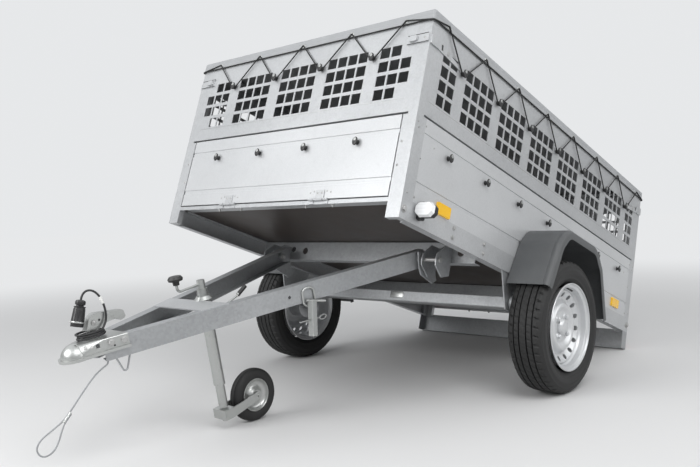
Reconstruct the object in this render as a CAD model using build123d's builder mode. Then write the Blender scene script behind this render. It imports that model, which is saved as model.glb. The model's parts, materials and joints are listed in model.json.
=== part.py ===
from build123d import *
from math import asin, atan, atan2, cos, degrees, hypot, radians, sin, tan
import os

# A light tipping trailer, in millimetres. Bed pieces are drawn in the bed's frame: X forward,
# Y left, Z up along the bed, with the origin at the centre of the axle line. Drawbar pieces are
# drawn in the drawbar's frame, with the origin on its hinge bolts. Both are placed at the end.

# Load bed
bed_length = 2034
bed_width = 1300
front_x = 1008
wall = 25
floor_z = 234
floor_thick = 15
skirt_depth = 73
base_height = 306
seam = 8
mesh_top = 700
post_width = 60
mesh_post_width = 40
groove_depth = 3
groove_heights = (67, 246)
gate_gap = 5.5
sill_depth = 15
channel_steel = 3
channel_flange = 40

# Mesh walls, hooks and cover
pitches_along = 7.661
pitches_across = 4.896
strip_share = 0.177
hole_share = 0.1676
hole_height = 42
hole_rows = (390, 446, 502, 558)
mesh_steel = 3
mesh_rail = 18
hook_low = 217
hook_high = 553
hook_reach = 20
cover_thick = 6
cover_hem = 665
eyelet_high = 676
cord_diameter = 7
cord_out = 9
hook_turn = 10.7
eyelet_turn = 8
corner_turn = 14

# Running gear
tyre_radius = 273.5
tyre_width = 155
rim_radius = 180
wheel_out = 100
stub_diameter = 30
running = 0.05
axle_x = 183
axle_z = 49
axle_size = 50
guard_width = 187
guard_thick = 4

# Drawbar
hinge_x = 530
hinge_z = 138
hinge_in = 240
bolt_diameter = 16
beam_top = 36.3
beam_low = -33.5
beam_flange = 40
beam_front = 1214
beam_rear = -20
beam_tip_y = 52
beam_hole_u = 576
beam_hole_diameter = 12
jockey_u = 770
jockey_radius = 100
jockey_trail = 143
jockey_hub_w = -381
jockey_tube = 42
jockey_top = 110
jockey_cap = 32
jockey_collar = 12
jockey_low = -285
jockey_inner_low = -372
jockey_width = 50
pin_diameter = 16

# Coupling, plug and cables
socket_steel = 3.5
socket_gap = 0.3
socket_back = 76
dome_ahead = 70
dome_radius = 46
dome_top = 45
lip_out = 7
handle_half = 14
pivot_u = 1210
pivot_w = 90
plug_radius = 20
plug_cable_diameter = 7
safety_cable_diameter = 5
lock_hang = 10

# Rear lamp board
lamp_low = 72
lamp_top = 174

# Values that follow
rear_x = front_x - bed_length
mid_x = (front_x + rear_x) / 2
half = bed_width / 2
wheel_y = half + wheel_out
bracket_y = half - 9
arm_y = half + 6
guard_in = half
guard_out = half + guard_width
hinge_y = half - hinge_in
base_top = floor_z + base_height
side_pitch = bed_length / pitches_along
cross_pitch = bed_width / pitches_across
skirt_z = floor_z - skirt_depth
mesh_z = base_top + seam
mesh_height = floor_z + mesh_top - mesh_z
beam_angle = degrees(atan((hinge_y - beam_tip_y) / beam_front))
ends = ((front_x, 1), (rear_x, -1))
groove_align = (Align.CENTER, Align.MIN)


def side_plane(y):
    """Upright plane along the bed, seen from the right, at a distance y to the left."""
    return Plane.XZ.offset(-y)


def cross_plane(x):
    """Upright plane across the bed, at a distance x forward."""
    return Plane.YZ.offset(x)


# ------------------------------------------------------------------ bed: floor and base walls

with BuildPart() as load_floor:
    with BuildSketch(Plane.XY.offset(floor_z)):
        with Locations((mid_x, 0)):
            Rectangle(bed_length - 2 * (wall + 6), bed_width - 2 * wall)
    extrude(amount=floor_thick)
load_floor.part.label = "load_floor"

with BuildPart() as side_skirts:
    with BuildSketch(cross_plane(rear_x + post_width)):
        with Locations((half - channel_flange / 2, floor_z - skirt_depth / 2)):
            Rectangle(channel_flange, skirt_depth)
        with Locations((half - channel_steel - channel_flange / 2, floor_z - skirt_depth / 2)):
            Rectangle(channel_flange, skirt_depth - 2 * channel_steel, mode=Mode.SUBTRACT)
    extrude(amount=bed_length - 2 * post_width)
    mirror(about=Plane.XZ)
side_skirts.part.label = "side_skirts"

with BuildPart() as base_side_walls:
    with BuildSketch(cross_plane(rear_x + post_width)):
        with Locations((half - wall / 2, floor_z + base_height / 2)):
            Rectangle(wall, base_height)
        for height in groove_heights:
            with Locations((half, floor_z + height)):
                Trapezoid(18, groove_depth, 60, rotation=90, align=groove_align, mode=Mode.SUBTRACT)
    extrude(amount=bed_length - 2 * post_width)
    mirror(about=Plane.XZ)
base_side_walls.part.label = "base_side_walls"

with BuildPart() as base_corner_posts:
    for end_x, way in ends:
        with BuildSketch(Plane.XY.offset(skirt_z)):
            with Locations((end_x - way * post_width / 2, half - wall / 2)):
                Rectangle(post_width, wall)
            with Locations((end_x - way * wall / 2, half - post_width / 2)):
                Rectangle(wall, post_width)
        extrude(amount=skirt_depth + base_height)
    mirror(about=Plane.XZ)
base_corner_posts.part.label = "base_corner_posts"

with BuildPart() as end_sills:
    for end_x, way in ends:
        with BuildSketch(side_plane(half - post_width)):
            with Locations((end_x - way * channel_steel / 2, floor_z - sill_depth / 2)):
                Rectangle(channel_steel, sill_depth)
            with Locations((end_x - way * 35, floor_z - channel_steel / 2)):
                Rectangle(70, channel_steel)
        extrude(amount=bed_width - 2 * post_width)
end_sills.part.label = "end_sills"

# ------------------------------------------------------------------ bed: gates of the base walls

gate_half = half - post_width - 5
gate_bottom = floor_z + gate_gap
hinge_pin_z = floor_z + 1
hinge_pin_out = 6
knuckle_wall = 2
gate_hinge_y = 262
leaf_width = 95
leaf_height = 37
gate_pin_diameter = 6


def gate_profile(end_x, way):
    """Cross-section of a gate, with its two pressed grooves, on the side plane in use."""
    with Locations((end_x - way * wall / 2, (gate_bottom + base_top) / 2)):
        Rectangle(wall, base_top - gate_bottom)
    for height in groove_heights:
        with Locations((end_x, floor_z + height)):
            Trapezoid(18, groove_depth, 60, rotation=way * 90, align=groove_align, mode=Mode.SUBTRACT)


def leaf_profile(end_x, way):
    """Hinge leaf of a gate: a flat leaf that runs into a knuckle round the pin."""
    with Locations((end_x + way * 1.5, hinge_pin_z + leaf_height / 2 + 2)):
        Rectangle(3, leaf_height)
    with Locations((end_x + way * hinge_pin_out, hinge_pin_z)):
        Circle(gate_pin_diameter / 2 + knuckle_wall)
    with Locations((end_x - way * 5, hinge_pin_z)):
        Rectangle(10, 12, mode=Mode.SUBTRACT)
    with Locations((end_x + way * hinge_pin_out, hinge_pin_z)):
        Circle(gate_pin_diameter / 2 + running, mode=Mode.SUBTRACT)


def knuckle_profile(end_x, way):
    """Outer knuckle of a hinge, with its leaf on the sill."""
    with Locations((end_x + way * hinge_pin_out, hinge_pin_z)):
        Circle(gate_pin_diameter / 2 + knuckle_wall)
    with Locations((end_x + way * 1.5, floor_z - 8)):
        Rectangle(3, 14)
    with Locations((end_x - way * 5, hinge_pin_z)):
        Rectangle(10, 20, mode=Mode.SUBTRACT)


with BuildPart() as front_gate:
    with BuildSketch(side_plane(gate_half)):
        gate_profile(front_x, 1)
    extrude(amount=2 * gate_half)
front_gate.part.label = "front_gate"

with BuildPart() as rear_gate:
    with BuildSketch(side_plane(gate_half)):
        gate_profile(rear_x, -1)
    extrude(amount=2 * gate_half)
rear_gate.part.label = "rear_gate"

leaf_planes = (
    side_plane(gate_hinge_y + leaf_width / 2 - 26),
    side_plane(leaf_width / 2 - 26 - gate_hinge_y),
)

with BuildPart() as front_gate_leaves:
    with BuildSketch(*leaf_planes):
        leaf_profile(front_x, 1)
    extrude(amount=leaf_width - 52)
front_gate_leaves.part.label = "front_gate_leaves"

with BuildPart() as rear_gate_leaves:
    with BuildSketch(*leaf_planes):
        leaf_profile(rear_x, -1)
    extrude(amount=leaf_width - 52)
rear_gate_leaves.part.label = "rear_gate_leaves"

with BuildPart() as gate_hinge_pins:
    for end_x, way in ends:
        for y in (gate_hinge_y, -gate_hinge_y):
            with BuildSketch(side_plane(y + leaf_width / 2)):
                with Locations((end_x + way * hinge_pin_out, hinge_pin_z)):
                    Circle(gate_pin_diameter / 2)
            extrude(amount=leaf_width)
            with BuildSketch(side_plane(y + leaf_width / 2), side_plane(y - leaf_width / 2 + 20)):
                knuckle_profile(end_x, way)
            extrude(amount=20)
gate_hinge_pins.part.label = "gate_hinge_pins"

# ------------------------------------------------------------------ bed: mesh walls

side_groups = (-2.5, -1.5, -0.5, 0.5, 1.5, 2.5)
cross_groups = (-1, 0, 1)
mesh_long = bed_length - 2 * mesh_post_width
mesh_wide = bed_width - 2 * mesh_post_width


def mesh_frame(length):
    """Panel sheet with its rails, on an upright plane centred on the panel."""
    with Locations((0, mesh_z + mesh_height / 2)):
        Rectangle(length, mesh_height)


def mesh_holes(pitch, groups, ends_columns):
    """Columns of holes between the plain strips, with fewer of them at the two ends."""
    strip_width = pitch * strip_share
    hole_width = pitch * hole_share
    column_step = (pitch - strip_width - 4 * hole_width) / 5 + hole_width
    for group in groups:
        for column in (-1.5, -0.5, 0.5, 1.5):
            for row in hole_rows:
                with Locations((group * pitch + column * column_step, floor_z + row + hole_height / 2 - 14)):
                    Rectangle(hole_width, hole_height, mode=Mode.SUBTRACT)
    edge = (max(groups) + 0.5) * pitch
    for way in (1, -1):
        for row, columns in zip(hole_rows, ends_columns):
            for column in range(columns):
                x = edge + strip_width / 2 + (column_step - hole_width) + hole_width / 2 + column * column_step
                with Locations((way * x, floor_z + row + hole_height / 2 - 14)):
                    Rectangle(hole_width, hole_height, mode=Mode.SUBTRACT)


with BuildPart() as mesh_side_walls:
    with BuildSketch(Plane(origin=(mid_x, half, 0), x_dir=(1, 0, 0), z_dir=(0, -1, 0))):
        mesh_frame(mesh_long)
        mesh_holes(side_pitch, side_groups, (2, 2, 2, 2))
    extrude(amount=mesh_steel)
    with BuildSketch(Plane(origin=(mid_x, half, 0), x_dir=(1, 0, 0), z_dir=(0, -1, 0))):
        mesh_frame(mesh_long)
        with Locations((0, mesh_z + mesh_height / 2)):
            Rectangle(mesh_long - 2 * mesh_rail, mesh_height - 2 * mesh_rail, mode=Mode.SUBTRACT)
    extrude(amount=wall)
    mirror(about=Plane.XZ)
mesh_side_walls.part.label = "mesh_side_walls"

with BuildPart() as mesh_front_wall:
    with BuildSketch(Plane(origin=(front_x, 0, 0), x_dir=(0, -1, 0), z_dir=(-1, 0, 0))):
        mesh_frame(mesh_wide)
        mesh_holes(cross_pitch, cross_groups, (2, 3, 3, 2))
    extrude(amount=mesh_steel)
    with BuildSketch(Plane(origin=(front_x, 0, 0), x_dir=(0, -1, 0), z_dir=(-1, 0, 0))):
        mesh_frame(mesh_wide)
        with Locations((0, mesh_z + mesh_height / 2)):
            Rectangle(mesh_wide - 2 * mesh_rail, mesh_height - 2 * mesh_rail, mode=Mode.SUBTRACT)
    extrude(amount=wall)
mesh_front_wall.part.label = "mesh_front_wall"

with BuildPart() as mesh_rear_wall:
    mirror(mesh_front_wall.part, about=Plane.YZ.offset(mid_x))
mesh_rear_wall.part.label = "mesh_rear_wall"

with BuildPart() as mesh_corner_posts:
    for end_x, way in ends:
        with BuildSketch(Plane.XY.offset(base_top)):
            with Locations((end_x - way * mesh_post_width / 2, half - wall / 2)):
                Rectangle(mesh_post_width, wall)
            with Locations((end_x - way * wall / 2, half - mesh_post_width / 2)):
                Rectangle(wall, mesh_post_width)
        extrude(amount=mesh_top - base_height)
    mirror(about=Plane.XZ)
mesh_corner_posts.part.label = "mesh_corner_posts"

# ------------------------------------------------------------------ bed: hooks, cover and its cord

side_hooks = [mid_x + k * side_pitch for k in (-3, -2, -1, 0, 1, 2, 3)]
cross_hooks = [k * cross_pitch for k in (-1.5, -0.5, 0.5, 1.5)]


left_face = Plane(origin=(0, half, 0), x_dir=(-1, 0, 0), z_dir=(0, 1, 0))
front_face = Plane(origin=(front_x, 0, 0), x_dir=(0, 1, 0), z_dir=(1, 0, 0))
rear_face = Plane(origin=(rear_x, 0, 0), x_dir=(0, -1, 0), z_dir=(-1, 0, 0))

side_low = [(-x, floor_z + hook_low) for x in side_hooks]
side_high = [(-x, floor_z + hook_high) for x in side_hooks]
cross_low = [(y, floor_z + hook_low) for y in cross_hooks]
cross_high = [(y, floor_z + hook_high) for y in cross_hooks]

with BuildPart() as side_hooks_low:
    with BuildSketch(left_face):
        with Locations(*side_low):
            Circle(7)
    extrude(amount=hook_reach - 7)
    with BuildSketch(left_face.offset(hook_reach - 7)):
        with Locations(*side_low):
            Ellipse(12, 17)
    extrude(amount=7)
    mirror(about=Plane.XZ)
side_hooks_low.part.label = "side_hooks_low"

with BuildPart() as mesh_hooks:
    with BuildSketch(left_face):
        with Locations(*side_high):
            Circle(7)
    extrude(amount=hook_reach - 7)
    with BuildSketch(left_face.offset(hook_reach - 7)):
        with Locations(*side_high):
            Ellipse(12, 17)
    extrude(amount=7)
    mirror(about=Plane.XZ)
    with BuildSketch(front_face):
        with Locations(*cross_high):
            Circle(7)
    extrude(amount=hook_reach - 7)
    with BuildSketch(front_face.offset(hook_reach - 7)):
        with Locations(*cross_high):
            Ellipse(12, 17)
    extrude(amount=7)
    with BuildSketch(rear_face):
        with Locations(*cross_high):
            Circle(7)
    extrude(amount=hook_reach - 7)
    with BuildSketch(rear_face.offset(hook_reach - 7)):
        with Locations(*cross_high):
            Ellipse(12, 17)
    extrude(amount=7)
mesh_hooks.part.label = "mesh_hooks"

with BuildPart() as front_gate_hooks:
    with BuildSketch(front_face):
        with Locations(*cross_low):
            Circle(7)
    extrude(amount=hook_reach - 7)
    with BuildSketch(front_face.offset(hook_reach - 7)):
        with Locations(*cross_low):
            Ellipse(12, 17)
    extrude(amount=7)
front_gate_hooks.part.label = "front_gate_hooks"

with BuildPart() as rear_gate_hooks:
    with BuildSketch(rear_face):
        with Locations(*cross_low):
            Circle(7)
    extrude(amount=hook_reach - 7)
    with BuildSketch(rear_face.offset(hook_reach - 7)):
        with Locations(*cross_low):
            Ellipse(12, 17)
    extrude(amount=7)
rear_gate_hooks.part.label = "rear_gate_hooks"

cover_side = 3
cover_top = floor_z + mesh_top + cover_thick

with BuildPart() as load_cover:
    with BuildSketch(Plane.XY.offset(floor_z + cover_hem)):
        with Locations((mid_x, 0)):
            RectangleRounded(bed_length + 2 * (cover_side + 1), bed_width + 2 * (cover_side + 1), 12)
    extrude(amount=mesh_top + cover_thick - cover_hem)
    fillet(load_cover.faces().sort_by(Axis.Z)[-1].edges(), 4)
    with BuildSketch(Plane.XY.offset(floor_z + cover_hem)):
        with Locations((mid_x, 0)):
            Rectangle(bed_length + 2, bed_width + 2)
    extrude(amount=mesh_top - cover_hem, mode=Mode.SUBTRACT)
load_cover.part.label = "load_cover"


def cord_heights(pitch):
    """Corner heights of the cord below the hooks and above the eyelets, for hooks a pitch apart."""
    rise = eyelet_high - hook_high
    lean = atan2(rise, pitch / 2) + asin((hook_turn + eyelet_turn) / hypot(rise, pitch / 2))
    return floor_z + hook_high - hook_turn / cos(lean), floor_z + eyelet_high + eyelet_turn / cos(lean)


side_zigzag = [(k * side_pitch / 2, cord_heights(side_pitch)[k % 2 == 1]) for k in range(-7, 8)]
cross_zigzag = [(k * cross_pitch / 2, cord_heights(cross_pitch)[k % 2 == 0]) for k in range(-4, 5)]
cord_y = half + cord_out
cord_front = front_x + cord_out
cord_rear = rear_x - cord_out
cord_corner_z = floor_z + eyelet_high + 4
cord_start = (cord_rear, cord_diameter + 2, cord_heights(cross_pitch)[1])

cord_points = [cord_start]
cord_points += [(cord_rear, y, z) for y, z in cross_zigzag[5:]]
cord_points += [(cord_rear, cord_y, cord_corner_z)]
cord_points += [(mid_x + x, cord_y, z) for x, z in side_zigzag]
cord_points += [(cord_front, cord_y, cord_corner_z)]
cord_points += [(cord_front, -y, z) for y, z in cross_zigzag]
cord_points += [(cord_front, -cord_y, cord_corner_z)]
cord_points += [(mid_x - x, -cord_y, z) for x, z in side_zigzag]
cord_points += [(cord_rear, -cord_y, cord_corner_z)]
cord_points += [(cord_rear, y, z) for y, z in cross_zigzag[:4]]
cord_points += [(cord_rear, -cord_start[1], cord_start[2])]
cord_turns = []
for x, y, z in cord_points[1:-1]:
    at_corner = abs(z - cord_corner_z) < 0.001
    cord_turns.append(corner_turn if at_corner else hook_turn if z < floor_z + hook_high else eyelet_turn)

with BuildPart() as cover_cord:
    with BuildLine():
        cord_path = FilletPolyline(*cord_points, radius=cord_turns)
    with BuildSketch(Plane(origin=cord_path @ 0, z_dir=cord_path % 0)):
        RegularPolygon(cord_diameter / 2, 6)
    sweep()
cover_cord.part.label = "cover_cord"

# ------------------------------------------------------------------ bed: under-frame

cross_depth = 85
cross_x = 450
rear_cross_x = -340


def cross_channel(face_x, way):
    """Pressed cross member: web at face_x, flanges that point away from it."""
    with Locations((face_x + way * 20, floor_z - channel_steel - cross_depth / 2)):
        Rectangle(40, cross_depth)
    with Locations((face_x + way * (20 + channel_steel), floor_z - channel_steel - cross_depth / 2)):
        Rectangle(40, cross_depth - 2 * channel_steel, mode=Mode.SUBTRACT)


with BuildPart() as front_cross_member:
    with BuildSketch(side_plane(half - channel_flange)):
        cross_channel(cross_x, -1)
    extrude(amount=bed_width - 2 * channel_flange)
    with BuildSketch(cross_plane(cross_x)):
        with Locations(*[(way * y, floor_z - 45) for y in (half - 110, half - 320) for way in (1, -1)]):
            Circle(16)
    extrude(amount=-channel_steel, mode=Mode.SUBTRACT)
front_cross_member.part.label = "front_cross_member"

with BuildPart() as rear_cross_member:
    with BuildSketch(side_plane(half - channel_flange)):
        with Locations((rear_cross_x - 20, floor_z - channel_steel - 24)):
            Rectangle(40, 48)
        with Locations((rear_cross_x - 20 - channel_steel, floor_z - channel_steel - 24)):
            Rectangle(40, 48 - 2 * channel_steel, mode=Mode.SUBTRACT)
    extrude(amount=bed_width - 2 * channel_flange)
rear_cross_member.part.label = "rear_cross_member"

cheek_ys = (hinge_y + 17, hinge_y + 84)
cheek_thick = 6
cheek_outline = ((0, 206), (0, 92), (48, 75), (98, 112), (102, 138), (98, 160), (48, 206))

with BuildPart() as hinge_brackets:
    for y in cheek_ys:
        with BuildSketch(side_plane(y)):
            with BuildLine():
                Polyline([(cross_x + x, z) for x, z in cheek_outline], close=True)
            make_face()
            with Locations((hinge_x, hinge_z)):
                Circle(bolt_diameter / 2, mode=Mode.SUBTRACT)
        extrude(amount=-cheek_thick)
    with BuildSketch(cross_plane(cross_x)):
        with Locations(((cheek_ys[0] + cheek_ys[1] + cheek_thick) / 2, 178)):
            Rectangle(cheek_ys[1] + cheek_thick - cheek_ys[0], 56)
    extrude(amount=channel_steel)
    mirror(about=Plane.XZ)
hinge_brackets.part.label = "hinge_brackets"

with BuildPart() as hinge_bolts:
    with BuildSketch(side_plane(hinge_y - 30)):
        with Locations((hinge_x, hinge_z)):
            Circle(bolt_diameter / 2)
    extrude(amount=-128)
    for y in (hinge_y - 38, hinge_y + 90):
        with BuildSketch(side_plane(y)):
            with Locations((hinge_x, hinge_z)):
                RegularPolygon(12, 6)
        extrude(amount=-8)
    mirror(about=Plane.XZ)
hinge_bolts.part.label = "hinge_bolts"

with BuildPart() as axle_tube:
    with BuildSketch(side_plane(bracket_y - 3)):
        with Locations((axle_x, axle_z)):
            RectangleRounded(axle_size, axle_size, 6)
            RectangleRounded(axle_size - 8, axle_size - 8, 3, mode=Mode.SUBTRACT)
    extrude(amount=2 * (bracket_y - 3))
axle_tube.part.label = "axle_tube"

bracket_outline = (
    (axle_x - 95, skirt_z), (axle_x + 110, skirt_z), (axle_x + 45, axle_z - 34), (axle_x - 45, axle_z - 34),
)

with BuildPart() as axle_brackets:
    with BuildSketch(side_plane(bracket_y + 3)):
        with BuildLine():
            Polyline(*bracket_outline, close=True)
        make_face()
    extrude(amount=6)
    mirror(about=Plane.XZ)
axle_brackets.part.label = "axle_brackets"

with BuildPart() as trailing_arms:
    with BuildSketch(side_plane(arm_y - 8)):
        with BuildLine():
            l1 = Polyline((axle_x, axle_z + 34), (0, 32))
            l2 = Polyline((0, -32), (axle_x, axle_z - 34))
            ThreePointArc(l1 @ 1, (-32, 0), l2 @ 0)
            ThreePointArc(l2 @ 1, (axle_x + 34, axle_z), l1 @ 0)
        make_face()
    extrude(amount=-12)
    with BuildSketch(side_plane(bracket_y + 3)):
        with Locations((axle_x, axle_z)):
            Circle(24)
    extrude(amount=-(arm_y - 8 - bracket_y - 3))
    mirror(about=Plane.XZ)
trailing_arms.part.label = "trailing_arms"

stub_out = wheel_y + 40

with BuildPart() as stub_axles:
    with BuildSketch(side_plane(arm_y + 4)):
        Circle(stub_diameter / 2)
    extrude(amount=-(stub_out - arm_y - 4))
    with BuildSketch(side_plane(stub_out)):
        RegularPolygon(20, 6)
    extrude(amount=-10)
    mirror(about=Plane.XZ)
stub_axles.part.label = "stub_axles"

guard_path = ((265, 116), (204, 304), (140, 381), (-145, 381), (-225, 304), (-322, 99))

with BuildPart() as mudguards:
    with BuildSketch(side_plane(guard_in)):
        with BuildLine():
            FilletPolyline(*guard_path, radius=60)
            offset(amount=guard_thick, side=Side.LEFT)
        make_face()
    extrude(amount=-(guard_out - guard_in))
    with BuildSketch(side_plane(guard_out)):
        with BuildLine():
            FilletPolyline(*guard_path, radius=60)
            offset(amount=38, side=Side.LEFT)
        make_face()
    extrude(amount=guard_thick)
    with BuildSketch(side_plane(guard_in)):
        with BuildLine():
            FilletPolyline(*guard_path, radius=60)
            offset(amount=26, side=Side.LEFT)
        make_face()
    extrude(amount=-guard_thick)
    mirror(about=Plane.XZ)
mudguards.part.label = "mudguards"

# ------------------------------------------------------------------ bed: lamp board and lamps

with BuildPart() as lamp_board:
    with BuildSketch(cross_plane(rear_x)):
        with Locations((0, (lamp_low + skirt_z) / 2)):
            Rectangle(bed_width, skirt_z - lamp_low)
        with Locations((0, (lamp_low + lamp_top) / 2)):
            Rectangle(bed_width - 2 * post_width - 2, lamp_top - lamp_low)
    extrude(amount=channel_steel)
    with BuildSketch(Plane.XY.offset(lamp_low)):
        with Locations((rear_x + 9, 0)):
            Rectangle(18, bed_width)
    extrude(amount=channel_steel)
    with BuildSketch(side_plane(half)):
        with Locations((rear_x + 27, (lamp_low + skirt_z) / 2)):
            Rectangle(54, skirt_z - lamp_low)
    extrude(amount=channel_steel)
    with BuildSketch(side_plane(-half)):
        with Locations((rear_x + 27, (lamp_low + skirt_z) / 2)):
            Rectangle(54, skirt_z - lamp_low)
    extrude(amount=-channel_steel)
lamp_board.part.label = "lamp_board"

with BuildPart() as rear_lamps:
    with BuildSketch(cross_plane(rear_x)):
        with Locations((half - 130, 136), (130 - half, 136)):
            RectangleRounded(190, 62, 10)
    extrude(amount=-36, taper=8)
rear_lamps.part.label = "rear_lamps"

with BuildPart() as rear_reflectors:
    with BuildSketch(cross_plane(rear_x)):
        with Locations((half - 300, 130), (300 - half, 130)):
            RegularPolygon(30, 3, rotation=90)
    extrude(amount=-8)
rear_reflectors.part.label = "rear_reflectors"

reflector_places = ((front_x - 238, floor_z + 25), (rear_x + 208, floor_z + 40))

with BuildPart() as side_reflectors:
    with BuildSketch(left_face):
        with Locations(*[(-x, z) for x, z in reflector_places]):
            RectangleRounded(85, 45, 5)
    extrude(amount=9, taper=10)
    mirror(about=Plane.XZ)
side_reflectors.part.label = "side_reflectors"

marker_x = front_x - 90
marker_z = floor_z - 20

with BuildPart() as marker_lamp_arms:
    with BuildSketch(side_plane(half)):
        with Locations((marker_x - 16, marker_z)):
            RectangleRounded(26, 66, 8)
    extrude(amount=-18)
    with BuildSketch(cross_plane(marker_x - 26)):
        with Locations((half + 37, marker_z)):
            Rectangle(70, 46)
        chamfer(vertices(), 12)
    extrude(amount=24)
    mirror(about=Plane.XZ)
marker_lamp_arms.part.label = "marker_lamp_arms"

with BuildPart() as marker_lenses:
    with BuildSketch(cross_plane(marker_x - 2)):
        with Locations((half + 38, marker_z)):
            Rectangle(74, 52)
        chamfer(vertices(), 14)
    extrude(amount=18, taper=12)
    mirror(about=Plane.XZ)
marker_lenses.part.label = "marker_lenses"

# ------------------------------------------------------------------ bed: corner latches

# Height of the latches, and corners of their levers: back from the end, above the floor
latch_z = floor_z + mesh_top - 105
latch_lever = ((36, 596), (200, 571), (208, 563), (200, 556), (36, 572))

with BuildPart() as mesh_latches:
    for end_x, way in ends:
        with BuildSketch(Plane(origin=(end_x, 0, 0), x_dir=(0, 1, 0), z_dir=(1, 0, 0))):
            with Locations((half - 49, latch_z)):
                RectangleRounded(88, 36, 8)
        extrude(amount=way * 4)
        with BuildSketch(Plane(origin=(end_x, 0, 0), x_dir=(0, 1, 0), z_dir=(1, 0, 0))):
            with Locations((half - 70, latch_z)):
                RectangleRounded(34, 22, 6)
        extrude(amount=way * 13)
        with BuildSketch(left_face):
            with BuildLine():
                Polyline(*[(-(end_x - way * back), floor_z + z) for back, z in latch_lever], close=True)
            make_face()
        extrude(amount=cord_out - cord_diameter / 2 - 1)
        with BuildSketch(left_face):
            with Locations((-(end_x - way * 28), latch_z - 5)):
                RectangleRounded(52, 40, 8)
        extrude(amount=7)
    mirror(about=Plane.XZ)
mesh_latches.part.label = "mesh_latches"

with BuildPart() as rear_gate_latches:
    with BuildSketch(rear_face):
        with Locations((gate_half - 30, floor_z + 236), (30 - gate_half, floor_z + 236)):
            RectangleRounded(50, 30, 6)
    extrude(amount=14)
rear_gate_latches.part.label = "rear_gate_latches"

# ------------------------------------------------------------------ wheels


def wheel_profile(points):
    """Closed profile of a turned piece, in the plane through the wheel's axis."""
    Polygon(*[(wheel_y + y, r) for y, r in points], align=None)


half_tyre = tyre_width / 2
tyre_points = (
    (-62, rim_radius - 14), (-half_tyre, rim_radius + 42), (-70, tyre_radius - 17), (-55, tyre_radius),
    (55, tyre_radius), (70, tyre_radius - 17), (half_tyre, rim_radius + 42), (62, rim_radius - 14),
)
rim_points = (
    (-70, rim_radius), (-62, rim_radius - 14.3), (62, rim_radius - 14.3), (70, rim_radius),
    (73, rim_radius - 2), (66, rim_radius - 19), (30, rim_radius - 28),
    (-66, rim_radius - 19), (-73, rim_radius - 2),
)
disc_points = (
    (31, rim_radius - 25), (38, 148), (18, 118), (44, 92), (30, 60), (30, 32),
    (24, 32), (24, 62), (38, 92), (11, 118), (31, 150), (24, rim_radius - 27),
)

with BuildPart() as tyre_left:
    with BuildSketch(Plane.YZ):
        wheel_profile(tyre_points)
    revolve(axis=Axis.Y)
tyre_left.part.label = "tyre_left"

with BuildPart() as rim_left:
    with BuildSketch(Plane.YZ):
        wheel_profile(rim_points)
    revolve(axis=Axis.Y)
    with BuildSketch(Plane.YZ):
        wheel_profile(disc_points)
    revolve(axis=Axis.Y)
    with BuildSketch(side_plane(wheel_y + 60)):
        with PolarLocations(134, 16):
            Circle(10)
    extrude(amount=60, mode=Mode.SUBTRACT)
rim_left.part.label = "rim_left"

with BuildPart() as hub_left:
    with BuildSketch(Plane.YZ):
        wheel_profile((
            (-60, 60), (24, 60), (24, 31), (38, 31),
            (38, stub_diameter / 2 + running), (-60, stub_diameter / 2 + running),
        ))
    revolve(axis=Axis.Y)
    with BuildSketch(side_plane(wheel_y + 30)):
        with PolarLocations(50, 4, start_angle=45):
            RegularPolygon(9, 6)
    extrude(amount=-12)
hub_left.part.label = "hub_left"

with BuildPart() as tyre_right:
    mirror(tyre_left.part, about=Plane.XZ)
tyre_right.part.label = "tyre_right"

with BuildPart() as rim_right:
    mirror(rim_left.part, about=Plane.XZ)
rim_right.part.label = "rim_right"

with BuildPart() as hub_right:
    mirror(hub_left.part, about=Plane.XZ)
hub_right.part.label = "hub_right"

# ------------------------------------------------------------------ drawbar

beam_cut = Plane(
    origin=(0, hinge_y, 0),
    x_dir=(sin(radians(beam_angle)), cos(radians(beam_angle)), 0),
    z_dir=(cos(radians(beam_angle)), -sin(radians(beam_angle)), 0),
)
beam_long = (beam_front - beam_rear) / cos(radians(beam_angle))
beam_mid = (beam_top + beam_low) / 2
beam_high = beam_top - beam_low


def web_y(u):
    """Distance of a beam's outer face from the middle, at u along the drawbar."""
    return hinge_y - u * tan(radians(beam_angle))


def beam_side(u, out=0):
    """Plane on the left beam's outer face at u, with its x to the rear and its y up."""
    lean = radians(beam_angle)
    origin = (u + out * sin(lean), web_y(u) + out * cos(lean), 0)
    return Plane(origin=origin, x_dir=(-cos(lean), sin(lean), 0), z_dir=(sin(lean), cos(lean), 0))


bush_diameter = 34
cable_hook = ((32, 1), (56, -64), (84, 1))
cable_hook_y = web_y(beam_front - 56) - 14
cable_hook_way = (cable_hook[0][0] - cable_hook[1][0], 0, cable_hook[1][1] - 1)

with BuildPart() as drawbar_beams:
    with BuildSketch(beam_cut.offset(beam_rear / cos(radians(beam_angle)))):
        with Locations((-beam_flange / 2, beam_mid)):
            Rectangle(beam_flange, beam_high)
        with Locations((-beam_flange / 2 - channel_steel, beam_mid)):
            Rectangle(beam_flange, beam_high - 2 * channel_steel, mode=Mode.SUBTRACT)
    extrude(amount=beam_long)
    with BuildSketch(side_plane(hinge_y - 30)):
        Circle(bush_diameter / 2)
    extrude(amount=-60, mode=Mode.SUBTRACT)
    with BuildSketch(beam_side(beam_hole_u)):
        Circle(beam_hole_diameter / 2)
    extrude(amount=-2 * channel_steel, mode=Mode.SUBTRACT)
    mirror(about=Plane.XZ)
    with BuildLine():
        FilletPolyline(*[(beam_front - back, cable_hook_y, beam_low + w) for back, w in cable_hook], radius=9)
    with BuildSketch(Plane(origin=(beam_front - cable_hook[0][0], cable_hook_y, beam_low + 1), z_dir=cable_hook_way)):
        Circle(3)
    sweep()
drawbar_beams.part.label = "drawbar_beams"

lug_outline = ((-69, 21), (23, 37), (32, -27), (26, -57), (-38, -110), (-68, -105))

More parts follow.
